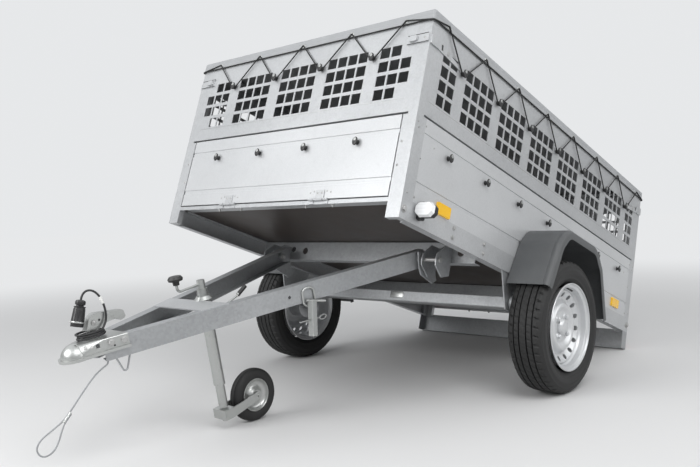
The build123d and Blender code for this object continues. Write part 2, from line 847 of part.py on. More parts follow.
with BuildPart() as hinge_lugs:
    with BuildSketch(side_plane(hinge_y + 6)):
        with BuildLine():
            Polyline(*lug_outline, close=True)
        make_face()
    extrude(amount=-6)
    with BuildSketch(side_plane(hinge_y - 22)):
        Circle(bush_diameter / 2)
    extrude(amount=-30)
    with BuildSketch(side_plane(hinge_y - 30)):
        Circle(bolt_diameter / 2 + running)
    extrude(amount=-50, mode=Mode.SUBTRACT)
    mirror(about=Plane.XZ)
hinge_lugs.part.label = "hinge_lugs"

plate_u = (jockey_u + jockey_tube / 2 + 2, jockey_u + 119)

with BuildPart() as jockey_crossplate:
    with BuildSketch(Plane.XY.offset(beam_top)):
        with BuildLine():
            Polyline((plate_u[0], web_y(plate_u[0]) - 6), (plate_u[1], web_y(plate_u[1]) - 6),
                     (plate_u[1], 6 - web_y(plate_u[1])), (plate_u[0], 6 - web_y(plate_u[0])), close=True)
        make_face()
    extrude(amount=4)
    with BuildSketch(cross_plane(plate_u[0])):
        with Locations((0, beam_top - 12)):
            Rectangle(90, 32)
    extrude(amount=4)
jockey_crossplate.part.label = "jockey_crossplate"

# Corners of the lever, behind the tube
lever_corners = ((18, 18, 14), (80, 22, -2), (136, 20, 13), (182, 20, 38))
lever_path = [(jockey_u - back, y, w) for back, y, w in lever_corners]
grip_long = 48

with BuildPart() as jockey_clamp:
    with BuildSketch(Plane.XY.offset(beam_top - 36)):
        with Locations((jockey_u, 0)):
            Circle(jockey_tube / 2 + 6)
        with Locations((plate_u[0], 0)):
            Rectangle(20, 60, align=(Align.MIN, Align.CENTER), mode=Mode.SUBTRACT)
            Rectangle(16, 60, align=(Align.MAX, Align.CENTER))
    extrude(amount=36)
    with BuildSketch(Plane.XY.offset(beam_top + 4)):
        with Locations((jockey_u, 0)):
            Circle(jockey_tube / 2 + 14)
    extrude(amount=12, taper=42)
    with BuildSketch(Plane.XY.offset(beam_top)):
        with Locations((jockey_u, 0)):
            Circle(jockey_tube / 2 + 2)
    extrude(amount=4)
    with BuildLine():
        FilletPolyline(*lever_path, radius=25)
    with BuildSketch(Plane(origin=lever_path[0], z_dir=Vector(*lever_path[1]) - Vector(*lever_path[0]))):
        Circle(4)
    sweep()
    with BuildSketch(Plane(origin=lever_path[3], z_dir=Vector(*lever_path[2]) - Vector(*lever_path[3]))):
        Circle(8)
    extrude(amount=grip_long)
    with BuildSketch(Plane.XY.offset(beam_top - 40)):
        with Locations((jockey_u, 0)):
            Circle(jockey_tube / 2)
    extrude(amount=80, mode=Mode.SUBTRACT)
jockey_clamp.part.label = "jockey_clamp"

tube_end = jockey_top - jockey_cap - jockey_collar

with BuildPart() as jockey_outer_tube:
    with BuildSketch(Plane.XY.offset(jockey_low)):
        with Locations((jockey_u, 0)):
            Circle(jockey_tube / 2)
            Circle(jockey_tube / 2 - 3, mode=Mode.SUBTRACT)
    extrude(amount=tube_end - jockey_low)
    with BuildSketch(Plane.XY.offset(tube_end)):
        with Locations((jockey_u, 0)):
            Circle(jockey_tube / 2 - 1.5)
    extrude(amount=jockey_collar)
jockey_outer_tube.part.label = "jockey_outer_tube"

inner_diameter = jockey_tube - 6 - 2
crank_w = jockey_top - 14
crank_end = (jockey_u + 103, 0, crank_w + 24)
knob_profile = ((0, 0), (11, 0), (12, 12), (25, 16), (27, 24), (21, 32), (0, 35))

with BuildPart() as jockey_crank:
    with BuildSketch(Plane.XY.offset(jockey_top - jockey_cap)):
        with Locations((jockey_u, 0)):
            Circle(14.5)
    extrude(amount=jockey_cap)
    with BuildLine():
        FilletPolyline((jockey_u, 0, crank_w), (jockey_u + 103, 0, crank_w - 4), crank_end, radius=14)
    with BuildSketch(Plane(origin=(jockey_u, 0, crank_w), z_dir=(103, 0, -4))):
        RegularPolygon(5, 10)
    sweep()
    with BuildSketch(Plane.XZ):
        Polygon(*[(crank_end[0] + r, crank_end[2] - 2 + w) for r, w in knob_profile], align=None)
    revolve(axis=Axis(crank_end, (0, 0, 1)))
jockey_crank.part.label = "jockey_crank"

# ------------------------------------------------------------------ jockey wheel

with BuildPart() as jockey_inner_tube:
    with BuildSketch(Plane.XY.offset(jockey_inner_low)):
        with Locations((jockey_u, 0)):
            Circle(inner_diameter / 2)
            Circle(inner_diameter / 2 - 3, mode=Mode.SUBTRACT)
    extrude(amount=jockey_top - 152 - jockey_inner_low)
    with BuildSketch(Plane.XY.offset(jockey_inner_low)):
        with Locations((jockey_u, 0)):
            Circle(inner_diameter / 2)
    extrude(amount=10)
    with BuildSketch(Plane.XY.offset(jockey_inner_low)):
        with Locations((jockey_u, 0)):
            Circle(pin_diameter / 2)
    extrude(amount=-48)
    with BuildSketch(Plane.XY.offset(jockey_inner_low - 48)):
        with Locations((jockey_u, 0)):
            Circle(13)
    extrude(amount=-5)
jockey_inner_tube.part.label = "jockey_inner_tube"

fork_top = jockey_inner_low - 6
fork_low = jockey_inner_low - 42
jockey_hub_u = jockey_u - jockey_trail
fork_gap = jockey_width / 2 + 6

fork_arm = (
    (jockey_u + 23, fork_low), (jockey_u + 23, fork_top), (jockey_u - 23, fork_top),
    (jockey_hub_u, jockey_hub_w + 15), (jockey_hub_u, jockey_hub_w - 15), (jockey_u - 23, fork_low),
)

with BuildPart() as jockey_fork:
    with BuildSketch(Plane.XY.offset(fork_low)):
        with Locations((jockey_u, 0)):
            Rectangle(46, 2 * fork_gap + 10)
    extrude(amount=fork_top - fork_low)
    with BuildSketch(side_plane(fork_gap + 5)):
        with BuildLine():
            Polyline(*fork_arm, close=True)
        make_face()
        with Locations((jockey_hub_u, jockey_hub_w)):
            Circle(15)
    extrude(amount=5)
    with BuildSketch(side_plane(-fork_gap)):
        with BuildLine():
            Polyline(*fork_arm, close=True)
        make_face()
        with Locations((jockey_hub_u, jockey_hub_w)):
            Circle(15)
    extrude(amount=5)
    with BuildSketch(side_plane(fork_gap + 12)):
        with Locations((jockey_hub_u, jockey_hub_w)):
            Circle(6)
    extrude(amount=2 * fork_gap + 24)
    with BuildSketch(Plane.XY.offset(fork_low)):
        with Locations((jockey_u, 0)):
            Circle(pin_diameter / 2 + running)
    extrude(amount=fork_top - fork_low, mode=Mode.SUBTRACT)
jockey_fork.part.label = "jockey_fork"

jockey_axis = Axis((jockey_hub_u, 0, jockey_hub_w), (0, 1, 0))


def jockey_profile(points):
    """Closed profile of a turned piece of the jockey wheel."""
    Polygon(*[(y, jockey_hub_w + r) for y, r in points], align=None)


with BuildPart() as jockey_tyre:
    with BuildSketch(cross_plane(jockey_hub_u)):
        jockey_profile((
            (-20, 62), (-25, 72), (-25, 88), (-14, jockey_radius),
            (14, jockey_radius), (25, 88), (25, 72), (20, 62),
        ))
    revolve(axis=jockey_axis)
jockey_tyre.part.label = "jockey_tyre"

with BuildPart() as jockey_rim:
    with BuildSketch(cross_plane(jockey_hub_u)):
        jockey_profile(((-20, 62), (20, 62), (20, 56), (4, 52), (4, 20), (26, 20),
                        (26, 6 + running), (-26, 6 + running), (-26, 20), (-4, 20), (-4, 52), (-20, 56)))
    revolve(axis=jockey_axis)
jockey_rim.part.label = "jockey_rim"

# ------------------------------------------------------------------ coupling

socket_rear = beam_front - socket_back
dome_u = beam_front + dome_ahead
plate_top = beam_top + socket_gap + socket_steel


def socket_half(u):
    """Half width of the coupling's body where it covers the beams."""
    return web_y(u) + (socket_gap + socket_steel) / cos(radians(beam_angle))


# Sections of the body: place, half width, top, corner outside, corner inside
socket_sections = (
    (socket_rear, socket_half(socket_rear), plate_top, 4.5, 1),
    (beam_front, socket_half(beam_front), plate_top, 4.5, 1),
    (dome_u, dome_radius, dome_top, 42, 38),
)
neck_outline = ((-15, 38), (24, 38), (12, pivot_w), (-12, pivot_w))

with BuildPart() as coupling_body:
    for first, last in ((0, 1), (1, 2)):
        for u, wide, top, corner, inner in socket_sections[first:last + 1]:
            with BuildSketch(cross_plane(u)):
                RectangleRounded(2 * wide, 2 * top, corner)
        loft(ruled=True)
    with BuildSketch(Plane.XZ):
        with Locations((dome_u, 0)):
            Ellipse(dome_radius, dome_top)
            Rectangle(60, 120, align=(Align.MAX, Align.CENTER), mode=Mode.SUBTRACT)
    revolve(axis=Axis((dome_u, 0, 0), (0, 0, 1)))
    split(bisect_by=Plane.XY, keep=Keep.TOP)
    for out, way in ((lip_out, Mode.ADD), (-socket_steel, Mode.SUBTRACT)):
        with BuildSketch(Plane.XY.offset(-6)):
            with BuildLine():
                Polyline((socket_rear, 0), (socket_rear, socket_half(socket_rear) + out),
                         (beam_front, socket_half(beam_front) + out),
                         (dome_u, dome_radius + out), (dome_u, 0), close=True)
            make_face()
            mirror(about=Plane.XZ)
            with Locations((dome_u, 0)):
                Circle(dome_radius + out)
        extrude(amount=9 if out > 0 else 6, mode=way)
    for u, wide, top, corner, inner in socket_sections[1:]:
        with BuildSketch(cross_plane(u)):
            RectangleRounded(2 * (wide - socket_steel), 2 * (top - socket_steel), inner)
    loft(ruled=True, mode=Mode.SUBTRACT)
    with BuildSketch(Plane.XZ):
        with Locations((dome_u, 0)):
            Ellipse(dome_radius - socket_steel, dome_top - socket_steel)
            Rectangle(60, 120, align=(Align.MAX, Align.CENTER), mode=Mode.SUBTRACT)
    revolve(axis=Axis((dome_u, 0, 0), (0, 0, 1)), mode=Mode.SUBTRACT)
    with BuildSketch(Plane.XY.offset(-6)):
        with BuildLine():
            Polyline((socket_rear, 0), (socket_rear, socket_half(socket_rear) - socket_steel),
                     (beam_front, socket_half(beam_front) - socket_steel), (beam_front, 0), close=True)
        make_face()
        mirror(about=Plane.XZ)
    extrude(amount=6 + beam_top + socket_gap, mode=Mode.SUBTRACT)
    with BuildSketch(Plane.XZ):
        with Locations((beam_front + 19, 24)):
            Rectangle(13, 13)
    extrude(amount=80, both=True, mode=Mode.SUBTRACT)
    with BuildSketch(side_plane(handle_half - 3.5)):
        Polygon(*[(pivot_u + u, w) for u, w in neck_outline], align=None)
        with Locations((pivot_u, pivot_w)):
            Circle(12)
            Circle(4 + running, mode=Mode.SUBTRACT)
    extrude(amount=2 * handle_half - 7)
coupling_body.part.label = "coupling_body"

# Corners of the handle from its pivot, with the radius of each
handle_outline = (
    (30, -22, 3), (15, 13, 20), (-5, 29, 25), (-50, 22, 10), (-109, 12, 10), (-115, -16, 8),
    (-94, -20, 8), (-79, -10, 12), (-44, -12, 10), (-30, -24, 6),
)
handle_corners = [(pivot_u + u, pivot_w + w) for u, w, r in handle_outline]
handle_turns = [r for u, w, r in handle_outline]
handle_hollow = ((-29, -30), (26, -30), (12, 11), (-5, 24), (-29, 21))

with BuildPart() as coupling_handle:
    with BuildSketch(side_plane(handle_half)):
        with BuildLine():
            FilletPolyline(handle_corners, radius=handle_turns, close=True)
        make_face()
    extrude(amount=2 * handle_half)
    with BuildSketch(side_plane(handle_half - 3)):
        Polygon(*[(pivot_u + u, pivot_w + w) for u, w in handle_hollow], align=None)
    extrude(amount=2 * handle_half - 6, mode=Mode.SUBTRACT)
    with BuildSketch(side_plane(handle_half + 2)):
        with Locations((pivot_u, pivot_w)):
            Circle(4)
    extrude(amount=2 * handle_half + 4)
coupling_handle.part.label = "coupling_handle"

# ------------------------------------------------------------------ lock that hangs on the left beam

lock_u = 505
lock_size = 25
link = ((-24, 18), (24, 18), (24, -48), (-24, -48))
link_corners = [beam_side(lock_u, 4.2).from_local_coords((x, w)) for x, w in link]
pin_foot = beam_side(lock_u, 12).from_local_coords((-17, -24))
pin_head = beam_side(lock_u, 12).from_local_coords((61, -45))
lock_tube_top = (lock_u, web_y(lock_u) + lock_size / 2 + 5, -28)
lock_tube_way = (sin(radians(lock_hang)), 0, -cos(radians(lock_hang)))

with BuildPart() as tilt_lock:
    with BuildLine():
        link_path = FilletPolyline(link_corners, radius=20, close=True)
    with BuildSketch(Plane(origin=link_path @ 0, z_dir=link_path % 0)):
        Circle(4)
    sweep()
    with BuildSketch(Plane(origin=pin_foot, z_dir=pin_head - pin_foot)):
        Circle(5)
    extrude(amount=80)
    with BuildSketch(Plane(origin=lock_tube_top, x_dir=(0, 1, 0), z_dir=lock_tube_way)):
        RectangleRounded(lock_size, lock_size, 3)
        RectangleRounded(lock_size - 5, lock_size - 5, 1, mode=Mode.SUBTRACT)
    extrude(amount=130)
    with BuildSketch(side_plane(web_y(lock_u) + 16)):
        with Locations((lock_u + 23, -96)):
            Rectangle(104, 4, rotation=7)
        with Locations((lock_u - 44, -104)):
            Ellipse(19, 10)
            Ellipse(15, 6, mode=Mode.SUBTRACT)
    extrude(amount=4)
tilt_lock.part.label = "tilt_lock"

# ------------------------------------------------------------------ plug and cables


def cord_radii(points):
    """Radius of each bend of a free cord: as large as the shorter of its two runs allows."""
    runs = [Vector(*b) - Vector(*a) for a, b in zip(points, points[1:])]
    return [0.45 * min(a.length, b.length) / tan(radians(a.get_angle(b) / 2)) for a, b in zip(runs, runs[1:])]


plug_foot = Vector(beam_front + 47, 0, 91)
plug_way = Vector(-0.379, 0, 0.925).normalized()
# Turned lengths of the plug from its foot: start, length, radius, taper
plug_steps = (
    (0, 12, plug_radius, 0), (12, 4, plug_radius + 1.5, 0), (16, 44, plug_radius - 0.5, 4),
    (60, 4, plug_radius - 1.5, 0), (64, 21, 15.5, 0),
)
plug_long = 85

with BuildPart() as plug:
    for start, length, radius, taper in plug_steps:
        with BuildSketch(Plane(origin=plug_foot + plug_way * start, z_dir=plug_way)):
            Circle(radius)
        extrude(amount=length, taper=taper)
plug.part.label = "plug"

coil_u = beam_front + 6
coil_low = dome_top + socket_gap
coil_high = 19.5

with BuildPart() as cable_coil:
    with BuildSketch(Plane.XY.offset(coil_low)):
        with Locations((coil_u, 0)):
            Ellipse(52, 38)
            RectangleRounded(54, 2 * handle_half + 4, 12, mode=Mode.SUBTRACT)
    extrude(amount=coil_high)
    with BuildSketch(Plane(origin=plug_foot - plug_way * 0.1, z_dir=plug_way * -1)):
        Circle(5)
    extrude(amount=32)
cable_coil.part.label = "cable_coil"

plug_top = plug_foot + plug_way * plug_long
plug_cable_points = [
    tuple(plug_top), tuple(plug_top + plug_way * 14), (1208, 3, 194), (1189, 8, 190), (1175, 14, 172),
    (1168, 19, 146), (1166, 21, 118), (1168, 22, 94), (1177, 21.5, 79), (1186, 20.5, coil_low + coil_high + 2.5),
]
plug_cable_radii = cord_radii(plug_cable_points)

with BuildPart() as plug_cable:
    with BuildLine():
        plug_cable_path = FilletPolyline(*plug_cable_points, radius=plug_cable_radii)
    with BuildSketch(Plane(origin=plug_cable_path @ 0, z_dir=plug_cable_path % 0)):
        Circle(plug_cable_diameter / 2)
    sweep()
plug_cable.part.label = "plug_cable"

safety_points = [
    (1206, 45, beam_low), (1206, 45, -41), (1214, 45, -46.5), (1230, 45, -51), (1254, 45, -61), (1284, 45, -81),
    (1325, 45, -113), (1360, 45, -142), (1389, 45, -162),
]
safety_loop = [
    (1386, 44.5, -158), (1421, 37, -177), (1456, 28, -192), (1476, 27, -212), (1477, 33, -230), (1468, 41, -242),
    (1451, 49, -241), (1432, 53, -230), (1415, 52, -209), (1403, 49, -188), (1387.5, 46, -163.5),
]
crimp_long = 36

with BuildPart() as safety_cable:
    with BuildLine():
        safety_path = FilletPolyline(*safety_points, radius=cord_radii(safety_points))
    with BuildSketch(Plane(origin=safety_path @ 0, z_dir=safety_path % 0)):
        Circle(safety_cable_diameter / 2)
    sweep()
    with BuildLine():
        loop_path = FilletPolyline(*safety_loop, radius=cord_radii(safety_loop))
    with BuildSketch(Plane(origin=loop_path @ 0, z_dir=loop_path % 0)):
        Circle(safety_cable_diameter / 2)
    sweep()
    with BuildSketch(Plane(origin=safety_points[-1], z_dir=Vector(*safety_points[-2]) - Vector(*safety_points[-1]))):
        Circle(safety_cable_diameter + 0.8)
    extrude(amount=crimp_long)
safety_cable.part.label = "safety_cable"

# ------------------------------------------------------------------ placing

# The bed leans back until the lamp board's lower edge meets the ground beside the tyres, and
# the drawbar leans down until the jockey wheel meets it too.
reach = -rear_x
tilt = degrees(atan2(lamp_low, reach) + asin(tyre_radius / hypot(reach, lamp_low)))
hinge_height = tyre_radius + hinge_x * sin(radians(tilt)) + hinge_z * cos(radians(tilt))
hinge_ahead = hinge_x * cos(radians(tilt)) - hinge_z * sin(radians(tilt))
hub_ahead = jockey_u - jockey_trail
hub_sink = asin((hinge_height - jockey_radius) / hypot(hub_ahead, jockey_hub_w))
pitch_down = degrees(hub_sink - atan2(-jockey_hub_w, hub_ahead))

bed_pieces = (
    load_floor, side_skirts, base_side_walls, base_corner_posts, end_sills, front_gate, rear_gate,
    front_gate_leaves, rear_gate_leaves, gate_hinge_pins, mesh_side_walls, mesh_front_wall, mesh_rear_wall,
    mesh_corner_posts, side_hooks_low, mesh_hooks, front_gate_hooks, rear_gate_hooks, load_cover, cover_cord,
    front_cross_member, rear_cross_member, hinge_brackets, hinge_bolts, axle_tube, axle_brackets, trailing_arms,
    stub_axles, mudguards, lamp_board, rear_lamps, rear_reflectors, side_reflectors, marker_lamp_arms,
    marker_lenses, mesh_latches, rear_gate_latches, tyre_left, rim_left, hub_left, tyre_right, rim_right,
    hub_right,
)
drawbar_pieces = (
    drawbar_beams, hinge_lugs, jockey_crossplate, jockey_clamp, jockey_outer_tube, jockey_crank,
    jockey_inner_tube, jockey_fork, jockey_tyre, jockey_rim, coupling_body, coupling_handle, tilt_lock,
)
loose_pieces = (plug, cable_coil, plug_cable, safety_cable)
bed_place = Location((0, 0, tyre_radius), (0, -tilt, 0))
drawbar_place = Location((hinge_ahead, 0, hinge_height), (0, pitch_down, 0))

placed = [piece.part.moved(bed_place) for piece in bed_pieces]
placed += [piece.part.moved(drawbar_place) for piece in drawbar_pieces]
low_x = min(piece.bounding_box().min.X for piece in placed)
high_x = max(piece.bounding_box().max.X for piece in placed)
placed += [piece.part.moved(drawbar_place) for piece in loose_pieces]
centre = Location((-(low_x + high_x) / 2, 0, 0))

os.makedirs("parts", exist_ok=True)
for piece in placed:
    export_step(piece.moved(centre), f"parts/{piece.label}.step")
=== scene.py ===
import bpy, bmesh, json
from math import acos, asin, atan2, copysign, cos, exp, hypot, pi, radians, sin, sqrt, tan
from mathutils import Matrix, Vector

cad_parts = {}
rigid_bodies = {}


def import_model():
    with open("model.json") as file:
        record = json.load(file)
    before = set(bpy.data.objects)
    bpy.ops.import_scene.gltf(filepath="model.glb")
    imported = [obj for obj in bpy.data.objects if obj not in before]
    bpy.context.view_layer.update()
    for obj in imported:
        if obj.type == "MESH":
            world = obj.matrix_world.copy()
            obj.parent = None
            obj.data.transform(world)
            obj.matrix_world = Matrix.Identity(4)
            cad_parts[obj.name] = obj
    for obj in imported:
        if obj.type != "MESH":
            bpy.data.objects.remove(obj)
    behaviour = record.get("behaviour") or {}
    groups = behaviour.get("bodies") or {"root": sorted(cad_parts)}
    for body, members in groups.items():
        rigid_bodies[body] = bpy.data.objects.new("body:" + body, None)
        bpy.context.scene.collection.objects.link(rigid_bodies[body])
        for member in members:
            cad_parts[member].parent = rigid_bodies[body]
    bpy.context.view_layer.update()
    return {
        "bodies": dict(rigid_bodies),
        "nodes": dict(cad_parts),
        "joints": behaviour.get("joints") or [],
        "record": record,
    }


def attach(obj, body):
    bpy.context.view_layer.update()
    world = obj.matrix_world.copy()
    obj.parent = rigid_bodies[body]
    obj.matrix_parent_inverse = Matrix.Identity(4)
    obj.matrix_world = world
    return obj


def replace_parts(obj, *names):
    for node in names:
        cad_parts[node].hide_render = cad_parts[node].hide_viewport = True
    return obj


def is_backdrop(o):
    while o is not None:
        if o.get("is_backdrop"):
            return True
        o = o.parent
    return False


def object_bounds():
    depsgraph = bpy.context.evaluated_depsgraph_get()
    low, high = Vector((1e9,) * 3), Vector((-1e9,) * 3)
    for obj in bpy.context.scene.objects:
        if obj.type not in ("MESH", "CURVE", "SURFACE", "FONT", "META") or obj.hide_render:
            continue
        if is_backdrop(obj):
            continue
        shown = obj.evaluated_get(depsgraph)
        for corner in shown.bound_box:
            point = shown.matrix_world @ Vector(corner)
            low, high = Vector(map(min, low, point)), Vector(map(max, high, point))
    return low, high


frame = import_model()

scene = bpy.context.scene


def axes(x, y, z, at):
    """A frame at a point with these three axes."""
    return Matrix((*((x[k], y[k], z[k], at[k]) for k in range(3)), (0, 0, 0, 1)))


def placed(name, data):
    """An object with this data, put into the scene."""
    o = bpy.data.objects.new(name, data)
    scene.collection.objects.link(o)
    return o


# ---- camera
cam_data = bpy.data.cameras.new("camera")
cam_data.sensor_width = 36.0
cam_data.lens = 38.98
cam_data.clip_start = 0.05
cam_data.clip_end = 100
cam = placed("camera", cam_data)
right = Vector((-0.6611, 0.7493, -0.0391)).normalized()
ahead = Vector((-0.7485, -0.6623, -0.0344)).normalized()
up = (-ahead).cross(right).normalized()
cam.matrix_world = axes(up.cross(-ahead).normalized(), up, -ahead, (2.6590, 2.2044, 0.7989))
scene.camera = cam
scene.view_settings.view_transform = "Standard"

# ---- frames and main sizes
# The bed's own frame has its origin on the axle line, and the drawbar's on its hinge bolts. The shapes
# are made in millimetres in these frames and placed by bed_mm, bar_mm, jockey_mm or wheel_mm.
move, spin = Matrix.Translation, Matrix.Rotation
MM = Matrix.Scale(0.001, 4)
axle_x, axle_z, wheel_y = -0.243265, 0.2735, 0.75
bed_tilt, bar_pitch = radians(19.4355), radians(9.5755)
bed_place = move((axle_x, 0, axle_z)) @ spin(-bed_tilt, 4, "Y")
bar_place = move((0.210615, 0, 0.579992)) @ spin(bar_pitch, 4, "Y")
bed_mm, bar_mm = bed_place @ MM, bar_place @ MM
jockey_mm = move((0.765501, 0, 0.100001)) @ MM
sides = {1: "left", -1: "right"}
wheel_mm = {side: move((axle_x, side * wheel_y, axle_z)) @ MM for side in sides}

# The bed in its own frame: front and rear face, their middle, side face, floor and sill's lower edge
nose, tail_end, mid, side_out, bed_floor, sill_low = 1008.0, -1026.0, -9.0, 650.0, 234.0, 219.0
ends = ((nose, 1), (tail_end, -1))
lace_pitch, hook_high, hook_low = 265.5, 787.0, 451.0


# ---- materials
def feed(nt, n, inputs):
    """Sets a node's inputs to values or to other nodes' outputs."""
    for key, value in inputs.items():
        if isinstance(value, bpy.types.NodeSocket):
            nt.links.new(value, n.inputs[key])
        else:
            n.inputs[key].default_value = value


def node(nt, kind, inputs=None, **settings):
    n = nt.nodes.new("ShaderNode" + kind)
    for key, value in settings.items():
        setattr(n, key, value)
    feed(nt, n, inputs or {})
    return n


def new_material(name):
    """A material with one plain surface shader."""
    m = bpy.data.materials.new(name)
    m.use_nodes = True
    nt = m.node_tree
    nt.nodes.clear()
    bsdf = node(nt, "BsdfPrincipled")
    node(nt, "OutputMaterial", {"Surface": bsdf.outputs["BSDF"]})
    return m, nt, bsdf


def places(nt):
    return node(nt, "TexCoord").outputs["Object"]


def noise(nt, vector, scale, detail=2.0, roughness=0.5):
    inputs = {"Vector": vector, "Scale": scale, "Detail": detail, "Roughness": roughness}
    return node(nt, "TexNoise", inputs).outputs["Fac"]


def ramp(nt, source, stops):
    """Colours or greys by a value, given as (value, colour) pairs."""
    r = node(nt, "ValToRGB", {"Fac": source})
    while len(r.color_ramp.elements) < len(stops):
        r.color_ramp.elements.new(0.5)
    for e, (position, c) in zip(r.color_ramp.elements, stops):
        e.position = position
        e.color = (*c, 1) if isinstance(c, tuple) else (c, c, c, 1)
    return r.outputs["Color"]


def ranged(nt, value, to, since=(0.0, 1.0), kind="LINEAR"):
    """A value moved from one range to another, and held at its ends."""
    inputs = dict(zip(("Value", "From Min", "From Max", "To Min", "To Max"), (value, *since, *to)))
    return node(nt, "MapRange", inputs, interpolation_type=kind).outputs["Result"]


def mix(nt, share, a, b, kind="MIX"):
    """Two colours mixed by a share, or multiplied."""
    a, b = (c if isinstance(c, bpy.types.NodeSocket) else (*c, 1) for c in (a, b))
    return node(nt, "Mix", {0: share, 6: a, 7: b}, data_type="RGBA", blend_type=kind).outputs[2]


def math_of(nt, operation, a, b):
    return node(nt, "Math", {0: a, 1: b}, operation=operation).outputs[0]


def bump(nt, height, strength, distance):
    inputs = {"Strength": strength, "Distance": distance, "Height": height}
    return node(nt, "Bump", inputs).outputs["Normal"]


def metal(name, low, high, metallic, rough, spangle, grime, cell, lines):
    """Zinc-coated or plated steel: small crystal patches, faint lines, and a little grime in blotches."""
    m, nt, bsdf = new_material(name)
    v = places(nt)
    crystals = node(nt, "TexVoronoi", {"Vector": v, "Scale": cell}).outputs["Color"]
    blotch = noise(nt, v, 34, 6, 0.7)
    fine = noise(nt, v, 160, 3)
    colour = ramp(nt, noise(nt, v, 2.4, 3), [(0.3, low), (0.7, high)])
    for source, dark_at, darker, light_at in (
        (crystals, 0.2, spangle, 0.8), (blotch, 0.28, grime, 0.46), (fine, 0.35, lines, 0.6),
    ):
        shade = ramp(nt, source, [(dark_at, 1 - darker), (light_at, 1.0)])
        colour = mix(nt, 1.0, colour, shade, "MULTIPLY")
    feed(nt, bsdf, {"Base Color": colour, "Metallic": metallic, "Normal": bump(nt, fine, 0.10, 0.0003)})
    feed(nt, bsdf, {"Roughness": ranged(nt, blotch, rough, (0.3, 0.7))})
    return m


def beyond(nt, origin, way, place):
    """1 past a plane and 0 before it, where the plane is given in metres in a frame of its own."""
    normal = (place.to_3x3() @ Vector(way)).normalized()
    dot = node(nt, "VectorMath", {0: places(nt), 1: normal}, operation="DOT_PRODUCT")
    return math_of(nt, "GREATER_THAN", dot.outputs["Value"], (place @ Vector(origin)).dot(normal))


def black_end(m, planes, place):
    """Turns what lies past all the planes into black plastic, such as a grip or a knob."""
    nt = m.node_tree
    bsdf = next(n for n in nt.nodes if n.type == "BSDF_PRINCIPLED")
    mask = beyond(nt, *planes[0], place)
    for plane in planes[1:]:
        mask = math_of(nt, "MULTIPLY", mask, beyond(nt, *plane, place))
    colour, rough = (bsdf.inputs[key].links[0].from_socket for key in ("Base Color", "Roughness"))
    feed(nt, bsdf, {"Base Color": mix(nt, mask, colour, (0.018, 0.018, 0.018))})
    metallic = bsdf.inputs["Metallic"].default_value
    for name, steel, black in (("Metallic", metallic, 0.0), ("Roughness", rough, 0.45)):
        either = node(nt, "Mix", {0: mask, 2: steel, 3: black}, data_type="FLOAT")
        feed(nt, bsdf, {name: either.outputs[0]})


def plastic(name, colour, rough, grain, depth, spread):
    """Moulded plastic, rubber or cloth with a fine grain and slight changes of shade."""
    m, nt, bsdf = new_material(name)
    v = places(nt)
    cloud = noise(nt, v, 9, 4)
    low = tuple(c * (1 - spread) for c in colour)
    high = tuple(min(1, c * (1 + spread)) for c in colour)
    feed(nt, bsdf, {"Base Color": ramp(nt, cloud, [(0.3, low), (0.7, high)])})
    feed(nt, bsdf, {"Roughness": ranged(nt, cloud, (rough - 0.06, rough + 0.1))})
    feed(nt, bsdf, {"Normal": bump(nt, noise(nt, v, grain, 2), depth, 0.0004)})
    return m


def lens(name, colour):
    """Clear plastic of a lamp or reflector, ribbed in small squares."""
    m, nt, bsdf = new_material(name)
    inputs = {"Vector": places(nt), "Scale": 220, "Randomness": 0.0}
    squares = node(nt, "TexVoronoi", inputs, distance="CHEBYCHEV").outputs["Distance"]
    light, dark = tuple(min(1, c * 1.15) for c in colour), tuple(c * 0.82 for c in colour)
    shade = ramp(nt, squares, [(0.0, light), (0.7, dark)])
    feed(nt, bsdf, {"Base Color": shade, "Normal": bump(nt, squares, 0.35, 0.0006)})
    feed(nt, bsdf, {"Roughness": 0.12, "Coat Weight": 0.6})
    return m


# Columns: name, two colours, metallic, lowest and highest roughness, spangle, grime, crystal scale, lines
plated_low, plated_high = (0.40, 0.41, 0.40), (0.50, 0.51, 0.50)
metals = (
    ("galvanised", (0.47, 0.48, 0.49), (0.55, 0.56, 0.57), 0.55, (0.34, 0.48), 0.06, 0.10, 160, 0.03),
    ("frame_steel", (0.34, 0.35, 0.36), (0.42, 0.43, 0.44), 0.6, (0.36, 0.50), 0.10, 0.14, 120, 0.0),
    ("panel", (0.56, 0.57, 0.58), (0.61, 0.62, 0.63), 0.45, (0.34, 0.44), 0.035, 0.05, 260, 0.03),
    ("plated", plated_low, plated_high, 0.8, (0.26, 0.40), 0.03, 0.14, 400, 0.0),
    ("silver_paint", (0.58, 0.59, 0.60), (0.66, 0.67, 0.68), 0.45, (0.30, 0.40), 0.03, 0.08, 700, 0.0),
    ("bolt_zinc", (0.40, 0.40, 0.40), (0.50, 0.50, 0.49), 0.75, (0.34, 0.5), 0.05, 0.2, 400, 0.0),
    ("clamp_and_grip", plated_low, plated_high, 0.8, (0.26, 0.40), 0.03, 0.12, 400, 0.0),
    ("crank_and_knob", plated_low, plated_high, 0.8, (0.26, 0.40), 0.03, 0.12, 400, 0.0),
)
